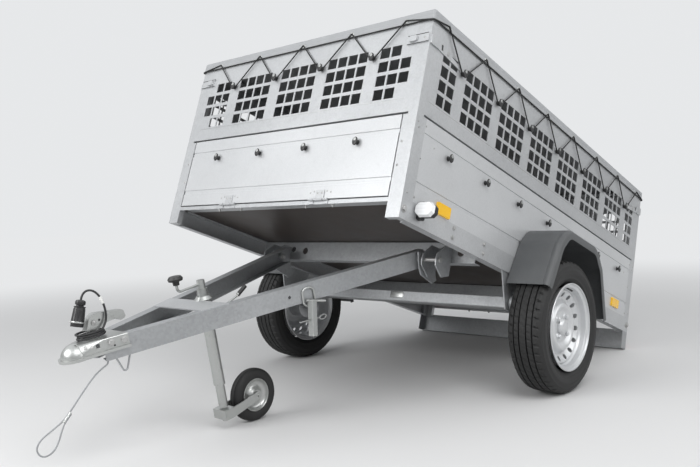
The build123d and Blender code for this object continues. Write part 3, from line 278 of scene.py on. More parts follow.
# Columns: name, colour, roughness, grain scale, grain depth, spread of shades
plastics = (
    ("grey_plastic", (0.085, 0.089, 0.092), 0.46, 700, 0.5, 0.1),
    ("black_plastic", (0.016, 0.016, 0.017), 0.40, 600, 0.25, 0.2),
    ("rubber", (0.013, 0.013, 0.013), 0.62, 260, 0.35, 0.2),
    ("cover_cloth", (0.36, 0.37, 0.38), 0.55, 1400, 0.5, 0.05),
    ("cord_cloth", (0.015, 0.015, 0.015), 0.7, 1200, 0.6, 0.2),
    ("white_tag", (0.72, 0.72, 0.70), 0.42, 900, 0.25, 0.2),
    ("plywood", (0.030, 0.022, 0.018), 0.42, 140, 0.4, 0.3),
    ("cable_black", (0.020, 0.020, 0.021), 0.45, 900, 0.2, 0.2),
    ("coated_wire", (0.30, 0.31, 0.32), 0.34, 700, 0.3, 0.12),
)
lenses = (("amber", (0.98, 0.52, 0.01)), ("red", (0.62, 0.02, 0.015)), ("white_lens", (0.86, 0.87, 0.88)))
look = {}
for maker, table in ((metal, metals), (plastic, plastics), (lens, lenses)):
    for row in table:
        look[row[0]] = maker(*row)
# Planes in the drawbar's frame, in metres, as a point and the way past it
black_end(look["clamp_and_grip"], [((0.630, 0, 0), (-1, 0, 0))], bar_place)
black_end(look["crank_and_knob"], [((0.844, 0, 0), (1, 0, 0)), ((0, 0, 0.1175), (0, 0, 1))], bar_place)

# A solid takes its material by its name or by its slot. Other slots have the material's own name.
slot_look = {
    "galvanised_steel": "galvanised", "spangled_panel": "panel", "plated_steel": "plated",
    "plywood_floor": "plywood", "cover_fabric": "cover_cloth", "cover_cord": "cord_cloth",
    "amber_lens": "amber", "red_lens": "red", "tyre_rubber": "rubber", "jockey_rubber": "rubber",
    "silver_rim": "silver_paint", "dark_steel": "silver_paint", "cable_sheath": "cable_black",
}
node_look = dict.fromkeys((
    "axle_tube", "trailing_arms", "drawbar_beams", "hinge_brackets", "hinge_lugs", "axle_brackets",
    "lamp_board", "front_cross_member", "rear_cross_member",
), "frame_steel")
node_look.update(jockey_clamp="clamp_and_grip", jockey_crank="crank_and_knob")

# ---- mesh helpers
def toward(at, axis, about=0.0):
    """A frame at a point whose Z runs along axis, turned about it."""
    z = Vector(axis).normalized()
    x = Vector((0, 0, 1)).cross(z).normalized() if abs(z.z) < 0.99 else z.orthogonal().normalized()
    return axes(x, z.cross(x), z, at) @ spin(about, 4, "Z")


def circle(count):
    """Cosine and sine of each corner of a regular polygon."""
    return [(cos(2 * pi * k / count), sin(2 * pi * k / count)) for k in range(count)]


def join_rings(bm, rings):
    """Faces between each ring of points and the next, each ring closed in itself."""
    for a, b in zip(rings, rings[1:]):
        for k in range(len(a)):
            j = (k + 1) % len(a)
            bm.faces.new((a[k], a[j], b[j], b[k]))


def turned(bm, frame, profile, segments, closed=False):
    """Turns a profile of (radius, height) pairs about the frame's Z."""
    rings = []
    for radius, height in profile:
        corners = circle(segments) if radius > 1e-6 else [(0, 0)]
        rings.append([bm.verts.new(frame @ Vector((radius * c, radius * s, height))) for c, s in corners])
    for a, b in zip(rings, rings[1:] + rings[:1] if closed else rings[1:]):
        for k in range(segments):
            j = (k + 1) % segments
            corners = (a[k % len(a)], a[j % len(a)], b[j % len(b)], b[k % len(b)])
            loop = list(dict.fromkeys(corners))
            if len(loop) > 2:
                bm.faces.new(loop)


def slab(bm, frame, size, bevel=0.0, steps=2):
    """A box centred on the frame, with rounded edges."""
    box = bmesh.ops.create_cube(bm, size=1, matrix=frame @ Matrix.Diagonal((*size, 1)))
    if bevel:
        edges = {e for v in box["verts"] for e in v.link_edges}
        bmesh.ops.bevel(bm, geom=list(edges), offset=bevel, segments=steps, affect="EDGES", profile=0.5)


def pipe(bm, points, radius, segments, capped=True):
    """A round rod or wire through points."""
    points = [Vector(p) for p in points]
    side = None
    rings = []
    for i, p in enumerate(points):
        way = (points[min(i + 1, len(points) - 1)] - points[max(i - 1, 0)]).normalized()
        side = (way.orthogonal() if side is None else side - way * side.dot(way)).normalized()
        corners = [p + side * radius * c + way.cross(side) * radius * s for c, s in circle(segments)]
        rings.append([bm.verts.new(corner) for corner in corners])
    join_rings(bm, rings)
    if capped:
        bm.faces.new(rings[0])
        bm.faces.new(rings[-1])


def hex_bolt(bm, at, axis, across, height, washer, turn):
    """A hexagon head on a washer, by its size across flats and the washer's radius."""
    turned(bm, toward(at, axis), [(0, 0), (washer, 0), (washer, 1.6), (washer * 0.93, 2.0), (0, 2.0)], 20)
    r = across / sqrt(3)
    head = [(0, 1.9), (r, 1.9), (r, height + 1), (r * 0.88, height + 2), (0, height + 2)]
    turned(bm, toward(at, axis, turn), head, 6)


def nut(bm, at, axis, across, height, stud, out, turn):
    """A nut on a washer, with its stud standing out."""
    hex_bolt(bm, at, axis, across, height, across * 0.68, turn)
    top = height + 2 + out
    turned(bm, toward(at, axis), [(stud, height), (stud, top - 1), (stud * 0.8, top), (0, top)], 12)


def screw(bm, at, axis, radius, height):
    """A flanged pan-head screw with a drive recess."""
    shares = (
        (0, -0.3), (1, -0.3), (1, 0.5), (0.9, 0.9), (0.68, 1.1), (0.6, height * 0.75), (0.45, height),
        (0.25, height), (0.2, height * 0.45), (0, height * 0.35),
    )
    turned(bm, toward(at, axis), [(radius * share, h) for share, h in shares], 16)


def rivet(bm, at, axis, radius, height):
    """A blind rivet's domed head with its hollow."""
    shares = ((0, -0.2), (1, -0.2), (0.96, 0.45), (0.7, 0.85), (0.3, 1), (0.22, 0.6), (0, 0.6))
    dome = [(radius * r, h if h < 0 else height * h) for r, h in shares]
    turned(bm, toward(at, axis), dome, 14)


def mesh_of(name, bm, place):
    """A mesh moved from its own frame to the shared one, with its faces outward."""
    bm.transform(place)
    bmesh.ops.recalc_face_normals(bm, faces=bm.faces)
    return bare_mesh(name, bm)


def bare_mesh(name, bm):
    mesh = bpy.data.meshes.new(name)
    bm.to_mesh(mesh)
    bm.free()
    return mesh


def piece(name, mesh, body, material, angle):
    """Puts a mesh into the scene as a piece that rides on a body."""
    mesh.shade_smooth()
    mesh.set_sharp_from_angle(angle=radians(angle))
    mesh.materials.append(look[material])
    o = placed(name, mesh)
    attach(o, body)
    return o


def made(name, bm, place, body, material, angle=32):
    return piece(name, mesh_of(name, bm, place), body, material, angle)


def on_bed(name, bm, material, angle=32, body="bed"):
    return made(name, bm, bed_mm, body, material, angle)


def on_bar(name, bm, material):
    return made(name, bm, bar_mm, "drawbar", material)


def evaluated(o):
    """The mesh of an object with its modifiers or its curve's thickness."""
    return bpy.data.meshes.new_from_object(o.evaluated_get(bpy.context.evaluated_depsgraph_get()))


def arc_line(points, radii, steps):
    """A polyline in a plane whose inner corners are turned into arcs."""
    result = [Vector(points[0])]
    for before, corner, after, radius in zip(points, points[1:], points[2:], radii):
        before, corner, after = Vector(before), Vector(corner), Vector(after)
        a, b = (before - corner).normalized(), (after - corner).normalized()
        half_turn = acos(max(-1, min(1, a.dot(b)))) / 2
        back = radius / tan(half_turn)
        centre = corner + (a + b).normalized() * radius / sin(half_turn)
        start, end = corner + a * back - centre, corner + b * back - centre
        whole = start.angle(end)
        for k in range(steps + 1):
            t = k / steps
            arc = start * sin((1 - t) * whole) + end * sin(t * whole)
            result.append(centre + arc / sin(whole))
    result.append(Vector(points[-1]))
    return result


# ---- cords
def in_row(place, points):
    """Points in metres in a part's own frame, moved to the shared frame."""
    return [place @ Vector(p) for p in points]


def nurbs_cord(name, place, points, diameter, material):
    """A round cord along one smooth open line, with its radius given at the points."""
    data = bpy.data.curves.new(name, "CURVE")
    data.dimensions = "3D"
    line = data.splines.new("NURBS")
    line.points.add(len(points) - 1)
    for point, where in zip(line.points, in_row(place, points)):
        point.co = (*where, 1)
        point.radius = diameter / 2
    line.order_u = 3
    line.use_endpoint_u = True
    line.resolution_u = 8
    data.bevel_depth = 1
    data.bevel_resolution = 5
    data.use_fill_caps = True
    data.materials.append(look[material])
    return placed(name, data)


def centre_line(curve):
    """The points that a cord's own line passes through."""
    bevel = curve.data.bevel_depth
    curve.data.bevel_depth = 0
    mesh = evaluated(curve)
    curve.data.bevel_depth = bevel
    points = [v.co.copy() for v in mesh.vertices]
    bpy.data.meshes.remove(mesh)
    return points


# The plug's lead leaves the coupling's top, winds round the handle's neck and rises to the plug.
# Each turn has its reach along the drawbar and across it, and its middle's place across it.
lead_turns = ((0.0470, 0.0340, 0.000), (0.0440, 0.0325, 0.001), (0.0480, 0.0350, -0.002))
neck_u, first_height, slope_of_turns, rise_of_turn = 1.220, 0.0457, 0.04, 0.0072
first_angle, angle_step, angle_count = -118, 30, 33
lead_points = [(1.186, -0.0255, 0.0401), (1.1885, -0.0268, 0.0436)]
for step in range(angle_count):
    angle = radians(first_angle + step * angle_step)
    turn = step * angle_step / 360
    reach_u, reach_y, aside = lead_turns[min(2, int(turn))]
    along = reach_u * cos(angle)
    height = first_height + slope_of_turns * along + rise_of_turn * turn
    lead_points.append((neck_u + along, aside + reach_y * sin(angle), height))
lead_points += [
    (1.1880, 0.0280, 0.0700), (1.1770, 0.0240, 0.0800), (1.1690, 0.0225, 0.0960), (1.1660, 0.021, 0.118),
    (1.168, 0.019, 0.146), (1.175, 0.014, 0.172), (1.189, 0.008, 0.190), (1.208, 0.003, 0.194),
    (1.2235, 0, 0.1826), (1.2288, 0, 0.1697),
]
plug_lead = nurbs_cord("plug_lead", bar_place, lead_points, 0.007, "cable_black")
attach(plug_lead, "drawbar")
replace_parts(plug_lead, "plug_cable", "cable_coil")
lead_line = centre_line(plug_lead)

# The breakaway cable hangs from the coupling and ends in a loop, closed by a crimped sleeve.
safety_points = [
    (1.206, 0.045, -0.0335), (1.206, 0.045, -0.041), (1.214, 0.045, -0.0465), (1.230, 0.045, -0.051),
    (1.254, 0.045, -0.061), (1.284, 0.045, -0.081), (1.325, 0.045, -0.113), (1.360, 0.045, -0.142),
    (1.389, 0.044, -0.162), (1.421, 0.037, -0.177), (1.456, 0.028, -0.192), (1.476, 0.027, -0.212),
    (1.477, 0.033, -0.230), (1.468, 0.041, -0.242), (1.451, 0.049, -0.241), (1.432, 0.053, -0.230),
    (1.415, 0.0525, -0.209), (1.4025, 0.0515, -0.188), (1.3885, 0.0507, -0.1685),
    (1.374, 0.0505, -0.1575), (1.362, 0.0504, -0.149),
]
breakaway = nurbs_cord("breakaway_cable", bar_place, safety_points, 0.005, "coated_wire")
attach(breakaway, "drawbar")
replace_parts(breakaway, "safety_cable")
breakaway_line = centre_line(breakaway)
bm = bmesh.new()
crimp_at, crimp_to = Vector((1389, 47.4, -164)), Vector((1361, 47.6, -143.5))
oval = toward(crimp_at, crimp_to - crimp_at) @ Matrix.Diagonal((1, 0.62, 1, 1))
turned(bm, oval, [
    (5.6, 0), (7, 0), (7, 5), (6.1, 7), (6.1, 12), (7, 14), (7, 20), (6.1, 22), (6.1, 27), (7, 29),
    (7, 34), (5.6, 34),
], 20)
crimp = on_bar("breakaway_crimp", bm, "plated")

# ---- the solids' materials
for part in frame["record"]["subparts"]:
    o = bpy.data.objects.get(part["node"])
    if o is not None:
        by_slot = slot_look.get(part["material_slot"], part["material_slot"])
        o.data.materials.clear()
        o.data.materials.append(look[node_look.get(part["node"], by_slot)])

# ---- road tyres
# Half of a tyre's section, from the bead out over the side wall to the tread's middle: radius, distance
# from the middle
tyre_half = [
    (180.5, 50), (181, 57), (184, 61.5), (190, 65), (197, 68.2), (198, 69.6), (201, 70.6),
    (202.5, 70.2), (212, 74), (222, 76.4), (229, 77.3), (232, 77.5), (234, 76.6), (241, 75.8),
    (248, 73.4), (249.5, 73.9), (252, 73), (256, 69.6), (261, 66), (265.2, 63.2), (267.5, 60.5),
    (269.0, 55), (269.9, 48), (270.3, 44.0), (270.5, 42.6), (263.8, 41.4), (263.8, 38.2), (271.3, 37.0),
    (271.6, 34), (272.3, 26), (272.8, 18.6), (265.8, 17.4), (265.8, 13.6), (273.1, 12.4), (273.2, 9),
    (273.5, 0),
]
tyre_steps, lug_pitch, sipe_pitch = 480, 10, 8
shoulder_from, shoulder_edge, shoulder_to, shoulder_foot = 44, 62, 64.5, 262
rib_from, rib_to, rib_foot, middle_to, middle_foot = 19, 36.9, 270, 12.3, 272


def tread_cut(step, r, y):
    """Depth of the gaps between the shoulder's lugs, and of the ribs' slanted sipes, at a point."""
    out = abs(y)
    if shoulder_from < out < shoulder_to and r > shoulder_foot:
        slant = int((out - shoulder_from) * copysign(0.12, y))
        if (step + slant) % lug_pitch < 2:
            return 5.2 if out < shoulder_edge else 3.0
    elif rib_from < out < rib_to and r > rib_foot:
        if (step + int(y * 0.16)) % sipe_pitch == 0:
            return 4.5
    elif out < middle_to and r > middle_foot:
        if (step + int(y * 0.3)) % sipe_pitch == sipe_pitch // 2:
            return 3.5
    return 0.0


for side, word in sides.items():
    bm = bmesh.new()
    whole = tyre_half + [(r, -y) for r, y in reversed(tyre_half[:-1])]
    rows = []
    for step, (c, s) in enumerate(circle(tyre_steps)):
        cut = [(r - tread_cut(step, r, y), y) for r, y in whole]
        rows.append([bm.verts.new((r * c, y, r * s)) for r, y in cut])
    join_rings(bm, rows + rows[:1])
    tyre = made("tread_tyre_" + word, bm, wheel_mm[side], "wheel_" + word, "rubber", 38)
    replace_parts(tyre, "tyre_" + word)

# ---- cover
# The flat top ends at cover_in from the cover's middle, folds down with a radius and hangs down.
cover_in_x, cover_in_y, cover_fold, cover_drop, cover_crown = 1013.0, 646.0, 8.0, 42.0, 939.4
eyes_along = [(k + 0.5) * lace_pitch for k in range(-4, 4)]
eyes_across = [k * lace_pitch for k in range(-2, 3)]


def fold_over(excess):
    """How far out and down the cloth is, once it has run this far past the edge's start."""
    quarter = cover_fold * pi / 2
    if excess <= quarter:
        angle = excess / cover_fold
        return cover_fold * sin(angle), cover_fold * (1 - cos(angle))
    return cover_fold, cover_fold + excess - quarter


def pull(value, eyes, width=34.0):
    """1 at an eyelet, falling to 0 between two."""
    return max(exp(-((value - e) / width) ** 2) for e in eyes)


def edge_wave(along):
    """The hanging edge's slight waves, outward."""
    return 0.25 * sin(along * 0.047 + 1.3) + 0.2 * sin(along * 0.113)


def top_drop(a, b):
    """How far the cloth on top lies under its crown: it sags a little and ripples."""
    edge = max(0.0, min(1.0, (cover_in_x - abs(a)) / 150, (cover_in_y - abs(b)) / 150))
    sag = 9.0 * (1 - (a / cover_in_x) ** 4) * (1 - (b / cover_in_y) ** 4)
    ripple = 1.3 * sin(a * 0.011 + 0.8 * sin(b * 0.006)) + 0.8 * sin(b * 0.017 + a * 0.005)
    near_a = exp(-(cover_in_x - abs(a)) / 90) * (pull(b, eyes_across, 60) - 0.5)
    near_b = exp(-(cover_in_y - abs(b)) / 90) * (pull(a, eyes_along, 60) - 0.5)
    return edge * (sag + ripple) + 1.6 * min(1, edge * 6) * (near_a + near_b)


def cover_point(a, b):
    """A point of the flat cloth, on the cover as it lies."""
    over_a, over_b = max(0.0, abs(a) - cover_in_x), max(0.0, abs(b) - cover_in_y)
    out_x, out_y = 0.0, 0.0
    if over_a and over_b:
        # past a corner, where the cloth is gathered in small folds
        out, drop = fold_over(max(over_a, over_b))
        angle = atan2(over_b, over_a)
        ruck = 1 + 0.10 * sin(angle * 6) * min(1, drop / 20)
        out_x, out_y = out * cos(angle) * ruck, out * sin(angle) * ruck
    elif over_a or over_b:
        # past one edge, where the lacing pulls at the eyelets
        out, drop = fold_over(over_a or over_b)
        along, eyes = (b, eyes_across) if over_a else (a, eyes_along)
        pulled = pull(along, eyes)
        out += (edge_wave(along) - pulled * 0.6) * min(1, drop / 25)
        drop += 1.2 * pulled * min(1, drop / 40)
        out_x, out_y = (out, 0.0) if over_a else (0.0, out)
    else:
        drop = top_drop(a, b)
    x, y = min(abs(a), cover_in_x) + out_x, min(abs(b), cover_in_y) + out_y
    return copysign(x, a) + mid, copysign(y, b), cover_crown - drop


def spread_lines(inner, past, count, edge_steps):
    """Grid lines from edge to edge, close together over the edge's fold."""
    inside = [-inner + 2 * inner * k / count for k in range(count + 1)]
    outside = [inner + past * k / edge_steps for k in range(1, edge_steps + 1)]
    return [-v for v in reversed(outside)] + inside + outside


bm = bmesh.new()
skirt = cover_drop - cover_fold + cover_fold * pi / 2
lines_a, lines_b = spread_lines(cover_in_x, skirt, 150, 12), spread_lines(cover_in_y, skirt, 96, 12)
grid = [[bm.verts.new(cover_point(a, b)) for b in lines_b] for a in lines_a]
for row, further in zip(grid, grid[1:]):
    for j in range(len(lines_b) - 1):
        bm.faces.new((row[j], further[j], further[j + 1], row[j + 1]))
cover = on_bed("cover_sheet", bm, "cover_cloth", 60)
thick = cover.modifiers.new("thickness", "SOLIDIFY")
thick.thickness = 0.0012
thick.offset = -1
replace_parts(cover, "load_cover")

# Folded hem round the cover's lower edge, with a stitched line, its eyelets and the cord under it
hem_low, hem_high, hem_half_x, hem_half_y, hem_round = 897.6, 920.0, 1021.0, 654.0, 8.0
corner_steps, side_steps = 8, 60
hem_profile = [
    (-0.2, hem_high + 0.4), (0.9, hem_high - 0.4), (1.0, hem_high - 3), (0.55, hem_high - 4),
    (0.55, hem_high - 4.8), (1.1, hem_high - 6), (1.2, hem_low + 5), (0.9, hem_low + 0.6), (0.0, hem_low),
    (-1.6, hem_low + 0.6),
]


def hem_path():
    """Points round the cover, each with its outward direction."""
    length, width = hem_half_x - hem_round, hem_half_y - hem_round
    result = []
    for corner_x, corner_y, start, way_x, way_y in (
        (length, width, 0, -1, 0), (-length, width, 90, 0, -1),
        (-length, -width, 180, 1, 0), (length, -width, 270, 0, 1),
    ):
        for step in range(corner_steps + 1):
            t = radians(start + step * 90 / corner_steps)
            c, s = cos(t), sin(t)
            result.append((corner_x + hem_round * c, corner_y + hem_round * s, c, s))
        span = 2 * length if way_x else 2 * width
        x, y, out_x, out_y = result[-1]
        for step in range(1, side_steps):
            gone = span * step / side_steps
            result.append((x + way_x * gone, y + way_y * gone, out_x, out_y))
    return result


bm = bmesh.new()
rows = []
for x, y, out_x, out_y in hem_path():
    along, eyes = (x, eyes_along) if abs(out_y) > abs(out_x) else (y, eyes_across)
    pulled = pull(along, eyes)
    wave = edge_wave(along) - 0.5 * pulled
    rows.append([
        bm.verts.new((x + mid + out_x * (out + wave), y + out_y * (out + wave), z - 1.2 * pulled))
        for out, z in hem_profile
    ])
for a, b in zip(rows, rows[1:] + rows[:1]):
    for k in range(len(hem_profile) - 1):
        bm.faces.new((a[k], b[k], b[k + 1], a[k + 1]))
hem = on_bed("cover_hem", bm, "cover_cloth", 50)

eyelet_z, eyelet_side, eyelet_end = 909.6, 655.6, 1022.6
eyelet_places = [(x, way * eyelet_side, 0, way) for x in eyes_along for way in (1, -1)]
eyelet_places += [(way * eyelet_end, y, way, 0) for y in eyes_across for way in (1, -1)]
eyelet_ring = [(4.6, -0.6), (4.8, 0.9), (6.2, 1.6), (8.2, 1.3), (9.2, 0.2), (9.2, -0.6)]
bm = bmesh.new()
for x, y, out_x, out_y in eyelet_places:
    turned(bm, toward((x + mid, y, eyelet_z), (out_x, out_y, 0)), eyelet_ring, 20, closed=True)
eyelets = on_bed("cover_eyelets", bm, "plated")

# ---- mudguards
# The guard's outline beside the wheel as (x, z) corners, and its section as (y, depth inward)
guard_path = ((265, 116), (204, 304), (140, 381), (-145, 381), (-225, 304), (-322, 99))
guard_inside = Vector((-28, 120))
guard_section = [
    (650.6, 26), (650.6, 4), (652, 1.2), (655, 0), (742, 0), (806, 0), (808, 0.9), (810, 1.1),
    (812, 0.3), (818, 0), (825, 1.6), (831, 5.4), (835, 11), (836.6, 18), (836.8, 33), (836.6, 37),
    (835.2, 38), (833.4, 37.4), (833.2, 33), (833.0, 18.6), (831.6, 13), (828, 8), (823, 4.8),
    (817, 3.4), (742, 3.2), (657, 3.2), (654.6, 4.6), (654.0, 8), (653.8, 26),
]


def filled(line, gap):
    """The line with points added where it runs straight."""
    result = [line[0]]
    for a, b in zip(line, line[1:]):
        count = max(1, int((b - a).length / gap))
        result += [a.lerp(b, k / count) for k in range(1, count + 1)]
    return result


bm = bmesh.new()
guard_line = filled(arc_line(guard_path, (95, 95, 95, 95), 12), 14)
last, count = len(guard_line) - 1, len(guard_section)
for side in sides:
    rows = []
    for i, p in enumerate(guard_line):
        way = (guard_line[min(i + 1, last)] - guard_line[max(i - 1, 0)]).normalized()
        inward = Vector((-way.y, way.x))
        if inward.dot(guard_inside - p) < 0:
            inward = -inward
        section = [(p + inward * depth, side * y) for y, depth in guard_section]
        rows.append([bm.verts.new((at.x, y, at.y)) for at, y in section])
    join_rings(bm, rows)
    for row in (rows[0], rows[-1]):
        for k in range(count // 2 - 1):
            bm.faces.new((row[k], row[k + 1], row[count - 2 - k], row[count - 1 - k]))
guards = on_bed("mudguard_shells", bm, "grey_plastic", 40)
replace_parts(guards, "mudguards")

# ---- wheel rims, hubs and valves
# Sections as (distance outward from the wheel's middle, radius)
rim_loop = [
    (71.5, 180.2), (73.6, 180.6), (75.4, 179.6), (76, 177.6), (75.2, 175.8), (72.4, 174.9),
    (69.4, 173.8), (67.6, 171), (66.6, 166), (64.6, 162.6), (58, 160.6), (46, 159.6), (41, 158.2),
    (37.5, 154.6), (33.5, 151.9), (27, 151.2), (0, 151.6), (-14, 153.4), (-24, 158.4), (-34, 160),
    (-58, 161), (-64.6, 163), (-66.6, 167), (-68.4, 172), (-71.6, 174.8), (-75.4, 176), (-76, 178.2),
    (-74.4, 180.4), (-71, 180), (-67, 176), (-62, 169), (-30, 164), (-20, 158), (26, 156), (40, 163),
    (60, 166), (65, 169), (68, 176),
]
disc_line = [
    (30.5, 152), (35.6, 150.6), (38.2, 148.4), (38.2, 145.6), (35.6, 141), (31, 134), (25.6, 126),
    (21, 120), (19.6, 115.4), (21.6, 110.6), (27, 105.6), (34, 101), (40, 97), (43.6, 92.6), (44.6, 88),
    (43.8, 83), (40.4, 77), (36.4, 71.4), (33, 66.6), (31, 62), (30.4, 56), (30.4, 33),
]
hub_line = [
    (-60, 0), (-60, 54), (-57, 60), (-20, 60), (-16, 57), (23, 57), (29.5, 55), (29.5, 33.5),
    (38, 32.6), (42, 31), (46, 28.4), (49, 23), (50.6, 15), (51.0, 6), (51.0, 0),
]
disc_thick, vent_count, vent_at, vent_radius, vent_stretch = 3.4, 16, 133, 10, 1.08
cap_at, nut_circle, nut_seat = 38, 50, 30
wheel_turn = {side: spin(-side * pi / 2, 4, "X") for side in sides}


def by_radius(section):
    """A section with the radius first, as turned() takes it."""
    return [(r, out) for out, r in section]


def vented_disc(name, side):
    """The wheel's dished disc, with its round vents cut through."""
    bm = bmesh.new()
    back = [(out - disc_thick, r) for out, r in reversed(disc_line[:-1])]
    turned(bm, wheel_turn[side], by_radius(disc_line + [(27, 33)] + back), 192, closed=True)
    disc = placed(name + "_disc", mesh_of(name + "_disc", bm, wheel_mm[side]))
    bm = bmesh.new()
    for k in range(vent_count):
        spot = wheel_turn[side] @ spin(2 * pi * (k + 0.5) / vent_count, 4, "Z")
        spot = spot @ move((vent_at, 0, 0)) @ Matrix.Diagonal((vent_stretch, 1, 1, 1))
        turned(bm, spot, [(0, 0), (vent_radius, 0), (vent_radius, 60), (0, 60)], 20)
    cutter = placed(name + "_cutter", mesh_of(name + "_cutter", bm, wheel_mm[side]))
    cut = disc.modifiers.new("vents", "BOOLEAN")
    cut.operation = "DIFFERENCE"
    cut.solver = "EXACT"
    cut.object = cutter
    result = evaluated(disc)
    bpy.data.objects.remove(disc)
    bpy.data.objects.remove(cutter)
    return result


def wheel_rim(name, side, body):
    """The barrel and the disc in one piece."""
    bm = bmesh.new()
    turned(bm, wheel_turn[side], by_radius(rim_loop), 144, closed=True)
    barrel = mesh_of(name + "_barrel", bm, wheel_mm[side])
    bm = bmesh.new()
    bm.from_mesh(vented_disc(name, side))
    bm.from_mesh(barrel)
    return piece(name, bare_mesh(name, bm), body, "silver_paint", 34)


def wheel_hub(name, side, body):
    """The hub behind the disc, its cap with a sealing ring, and four wheel bolts."""
    bm = bmesh.new()
    turned(bm, wheel_turn[side], by_radius(hub_line), 64)
    ring = [(32.6, -1), (34.2, 0), (34.2, 2), (32.8, 3), (30.6, 3)]
    turned(bm, wheel_turn[side] @ move((0, 0, cap_at)), ring, 64, closed=True)
    for k in range(4):
        angle = radians(45 + 90 * k)
        at = Vector((nut_circle * cos(angle), nut_circle * sin(angle), nut_seat))
        at, away = wheel_turn[side] @ at, (0, side, 0)
        turned(bm, toward(at, away), [(13.5, 0), (13.5, 1.4), (11.6, 3.6), (10, 4.6), (0, 4.6)], 24)
        turned(bm, toward(at, away, 0.3 * k), [(9.8, 4), (9.8, 14), (8.6, 15.6), (0, 15.6)], 6)
        turned(bm, toward(at, away), [(5.2, 15), (5.2, 16.2), (4.2, 17), (0, 17)], 16)
    return made(name, bm, wheel_mm[side], body, "silver_paint", 30)


def tyre_valve(name, side, body):
    bm = bmesh.new()
    pipe(bm, [(0, side * 56, 164), (0, side * 66, 158), (0, side * 76, 153)], 3.2, 10)
    cap = [(0, -1), (4.6, -1), (4.6, 8), (3.8, 9.4), (0, 9.4)]
    turned(bm, toward((0, side * 76, 153), (0, side * 10, -5)), cap, 12)
    made(name, bm, wheel_mm[side], body, "black_plastic")


for side, word in sides.items():
    body = "wheel_" + word
    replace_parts(wheel_rim("wheel_rim_" + word, side, body), "rim_" + word)
    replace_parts(wheel_hub("wheel_hub_" + word, side, body), "hub_" + word)
    tyre_valve("tyre_valve_" + word, side, body)

# ---- lacing, hooks, lower cord
# The cord runs from hook to eyelet. Its straight runs touch the bends at both, so they lean a little more
# than the line from hook to eyelet does.
eye_z, lace_radius, hook_bend, eye_bend, corner_bend, corner_z = 912.0, 2.7, 9.9, 4.0, 14, 892.0
rise, half_pitch = eye_z - hook_high, lace_pitch / 2
lean = atan2(rise, half_pitch) + asin((hook_bend + eye_bend) / hypot(rise, half_pitch))
lace_low, lace_high = hook_high - hook_bend / cos(lean), eye_z + eye_bend / cos(lean) - 6
side_y, front_at, rear_at, loose_end = 658.6, 1016.6, -1034.6, 8
side_run = [(k * half_pitch, lace_high if k % 2 else lace_low) for k in range(-7, 8)]
cross_run = [(k * half_pitch, lace_low if k % 2 else lace_high) for k in range(-4, 5)]
lace = [(rear_at, loose_end, lace_high)] + [(rear_at, y, z) for y, z in cross_run[5:]]
lace += [(rear_at, side_y, corner_z)] + [(mid + x, side_y, z) for x, z in side_run]
lace += [(front_at, side_y, corner_z)] + [(front_at, -y, z) for y, z in cross_run]
lace += [(front_at, -side_y, corner_z)] + [(mid - x, -side_y, z) for x, z in side_run]
lace += [(rear_at, -side_y, corner_z)] + [(rear_at, y, z) for y, z in cross_run[:4]]
lace += [(rear_at, -loose_end, lace_high)]
bend_at = {corner_z: corner_bend, lace_low: hook_bend, lace_high: eye_bend}
bm = bmesh.new()
pipe(bm, arc_line(lace, [bend_at[z] for x, y, z in lace[1:-1]], 6), lace_radius, 8)
end_knot = [(0, -6), (3.2, -5), (3.9, -2), (3.9, 2), (3.2, 5), (0, 6)]
for side in sides:
    turned(bm, toward((rear_at, side * loose_end / 2, lace_high), (0, side, 0)), end_knot, 12)
lacing = on_bed("lacing_cord", bm, "cord_cloth", 60)
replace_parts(lacing, "cover_cord")

bm = bmesh.new()
hem_cord_z, hem_cord_out = 896.6, 1.9
hem_cord_line = [
    (x + mid + out_x * hem_cord_out, y + out_y * hem_cord_out, hem_cord_z)
    for x, y, out_x, out_y in hem_path()
]
pipe(bm, hem_cord_line + hem_cord_line[:1], 2.3, 8, capped=False)
on_bed("hem_cord", bm, "cord_cloth", 60)

hooks_along = [mid + k * lace_pitch for k in range(-3, 4)]
side_hooks = [(x, side * side_out, (0, side, 0)) for x in hooks_along for side in sides]
front_hooks = [(nose, (k + 0.5) * lace_pitch, (1, 0, 0)) for k in range(-2, 2)]
rear_hooks = [(tail_end, (k + 0.5) * lace_pitch, (-1, 0, 0)) for k in range(-2, 2)]
hook_foot = [(0, 0), (9.5, 0), (9.5, 1.6), (7.4, 2.6), (6.8, 4), (6.8, 12), (7.2, 13.4), (0, 13.4)]
hook_head = [(0, 13.0), (10.8, 13.0), (11.9, 14.2), (11.9, 16.6), (10.6, 18.4), (7.5, 19.2), (0, 19.4)]
# The plated disc on the upper half of each head's face is a painted highlight.
hook_highlight = [(0, 19.0), (6.6, 19.0), (6.4, 19.6), (4.6, 19.9), (0, 19.95)]


def rope_hooks(name, places, z, node_name, body="bed"):
    """Hooks with a round foot and neck and an oval head, whose upper half carries a plated disc that is a
    painted highlight.
    """
    bm, painted_highlights = bmesh.new(), bmesh.new()
    for x, y, away in places:
        base = toward((x, y, z), away)
        turned(bm, base, hook_foot, 20)
        turned(bm, base @ Matrix.Diagonal((1, 1.4, 1, 1)), hook_head, 24)
        turned(painted_highlights, toward((x, y, z + 7), away), hook_highlight, 18)
    hooks = on_bed(name, bm, "black_plastic", body=body)
    on_bed(name + "_caps", painted_highlights, "plated", body=body)
    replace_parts(hooks, node_name)


rope_hooks("mesh_rope_hooks", side_hooks + front_hooks + rear_hooks, hook_high, "mesh_hooks")
rope_hooks("side_rope_hooks", side_hooks, hook_low, "side_hooks_low")
rope_hooks("front_rope_hooks", front_hooks, hook_low, "front_gate_hooks", "front_gate")
rope_hooks("rear_rope_hooks", rear_hooks, hook_low, "rear_gate_hooks", "rear_gate")
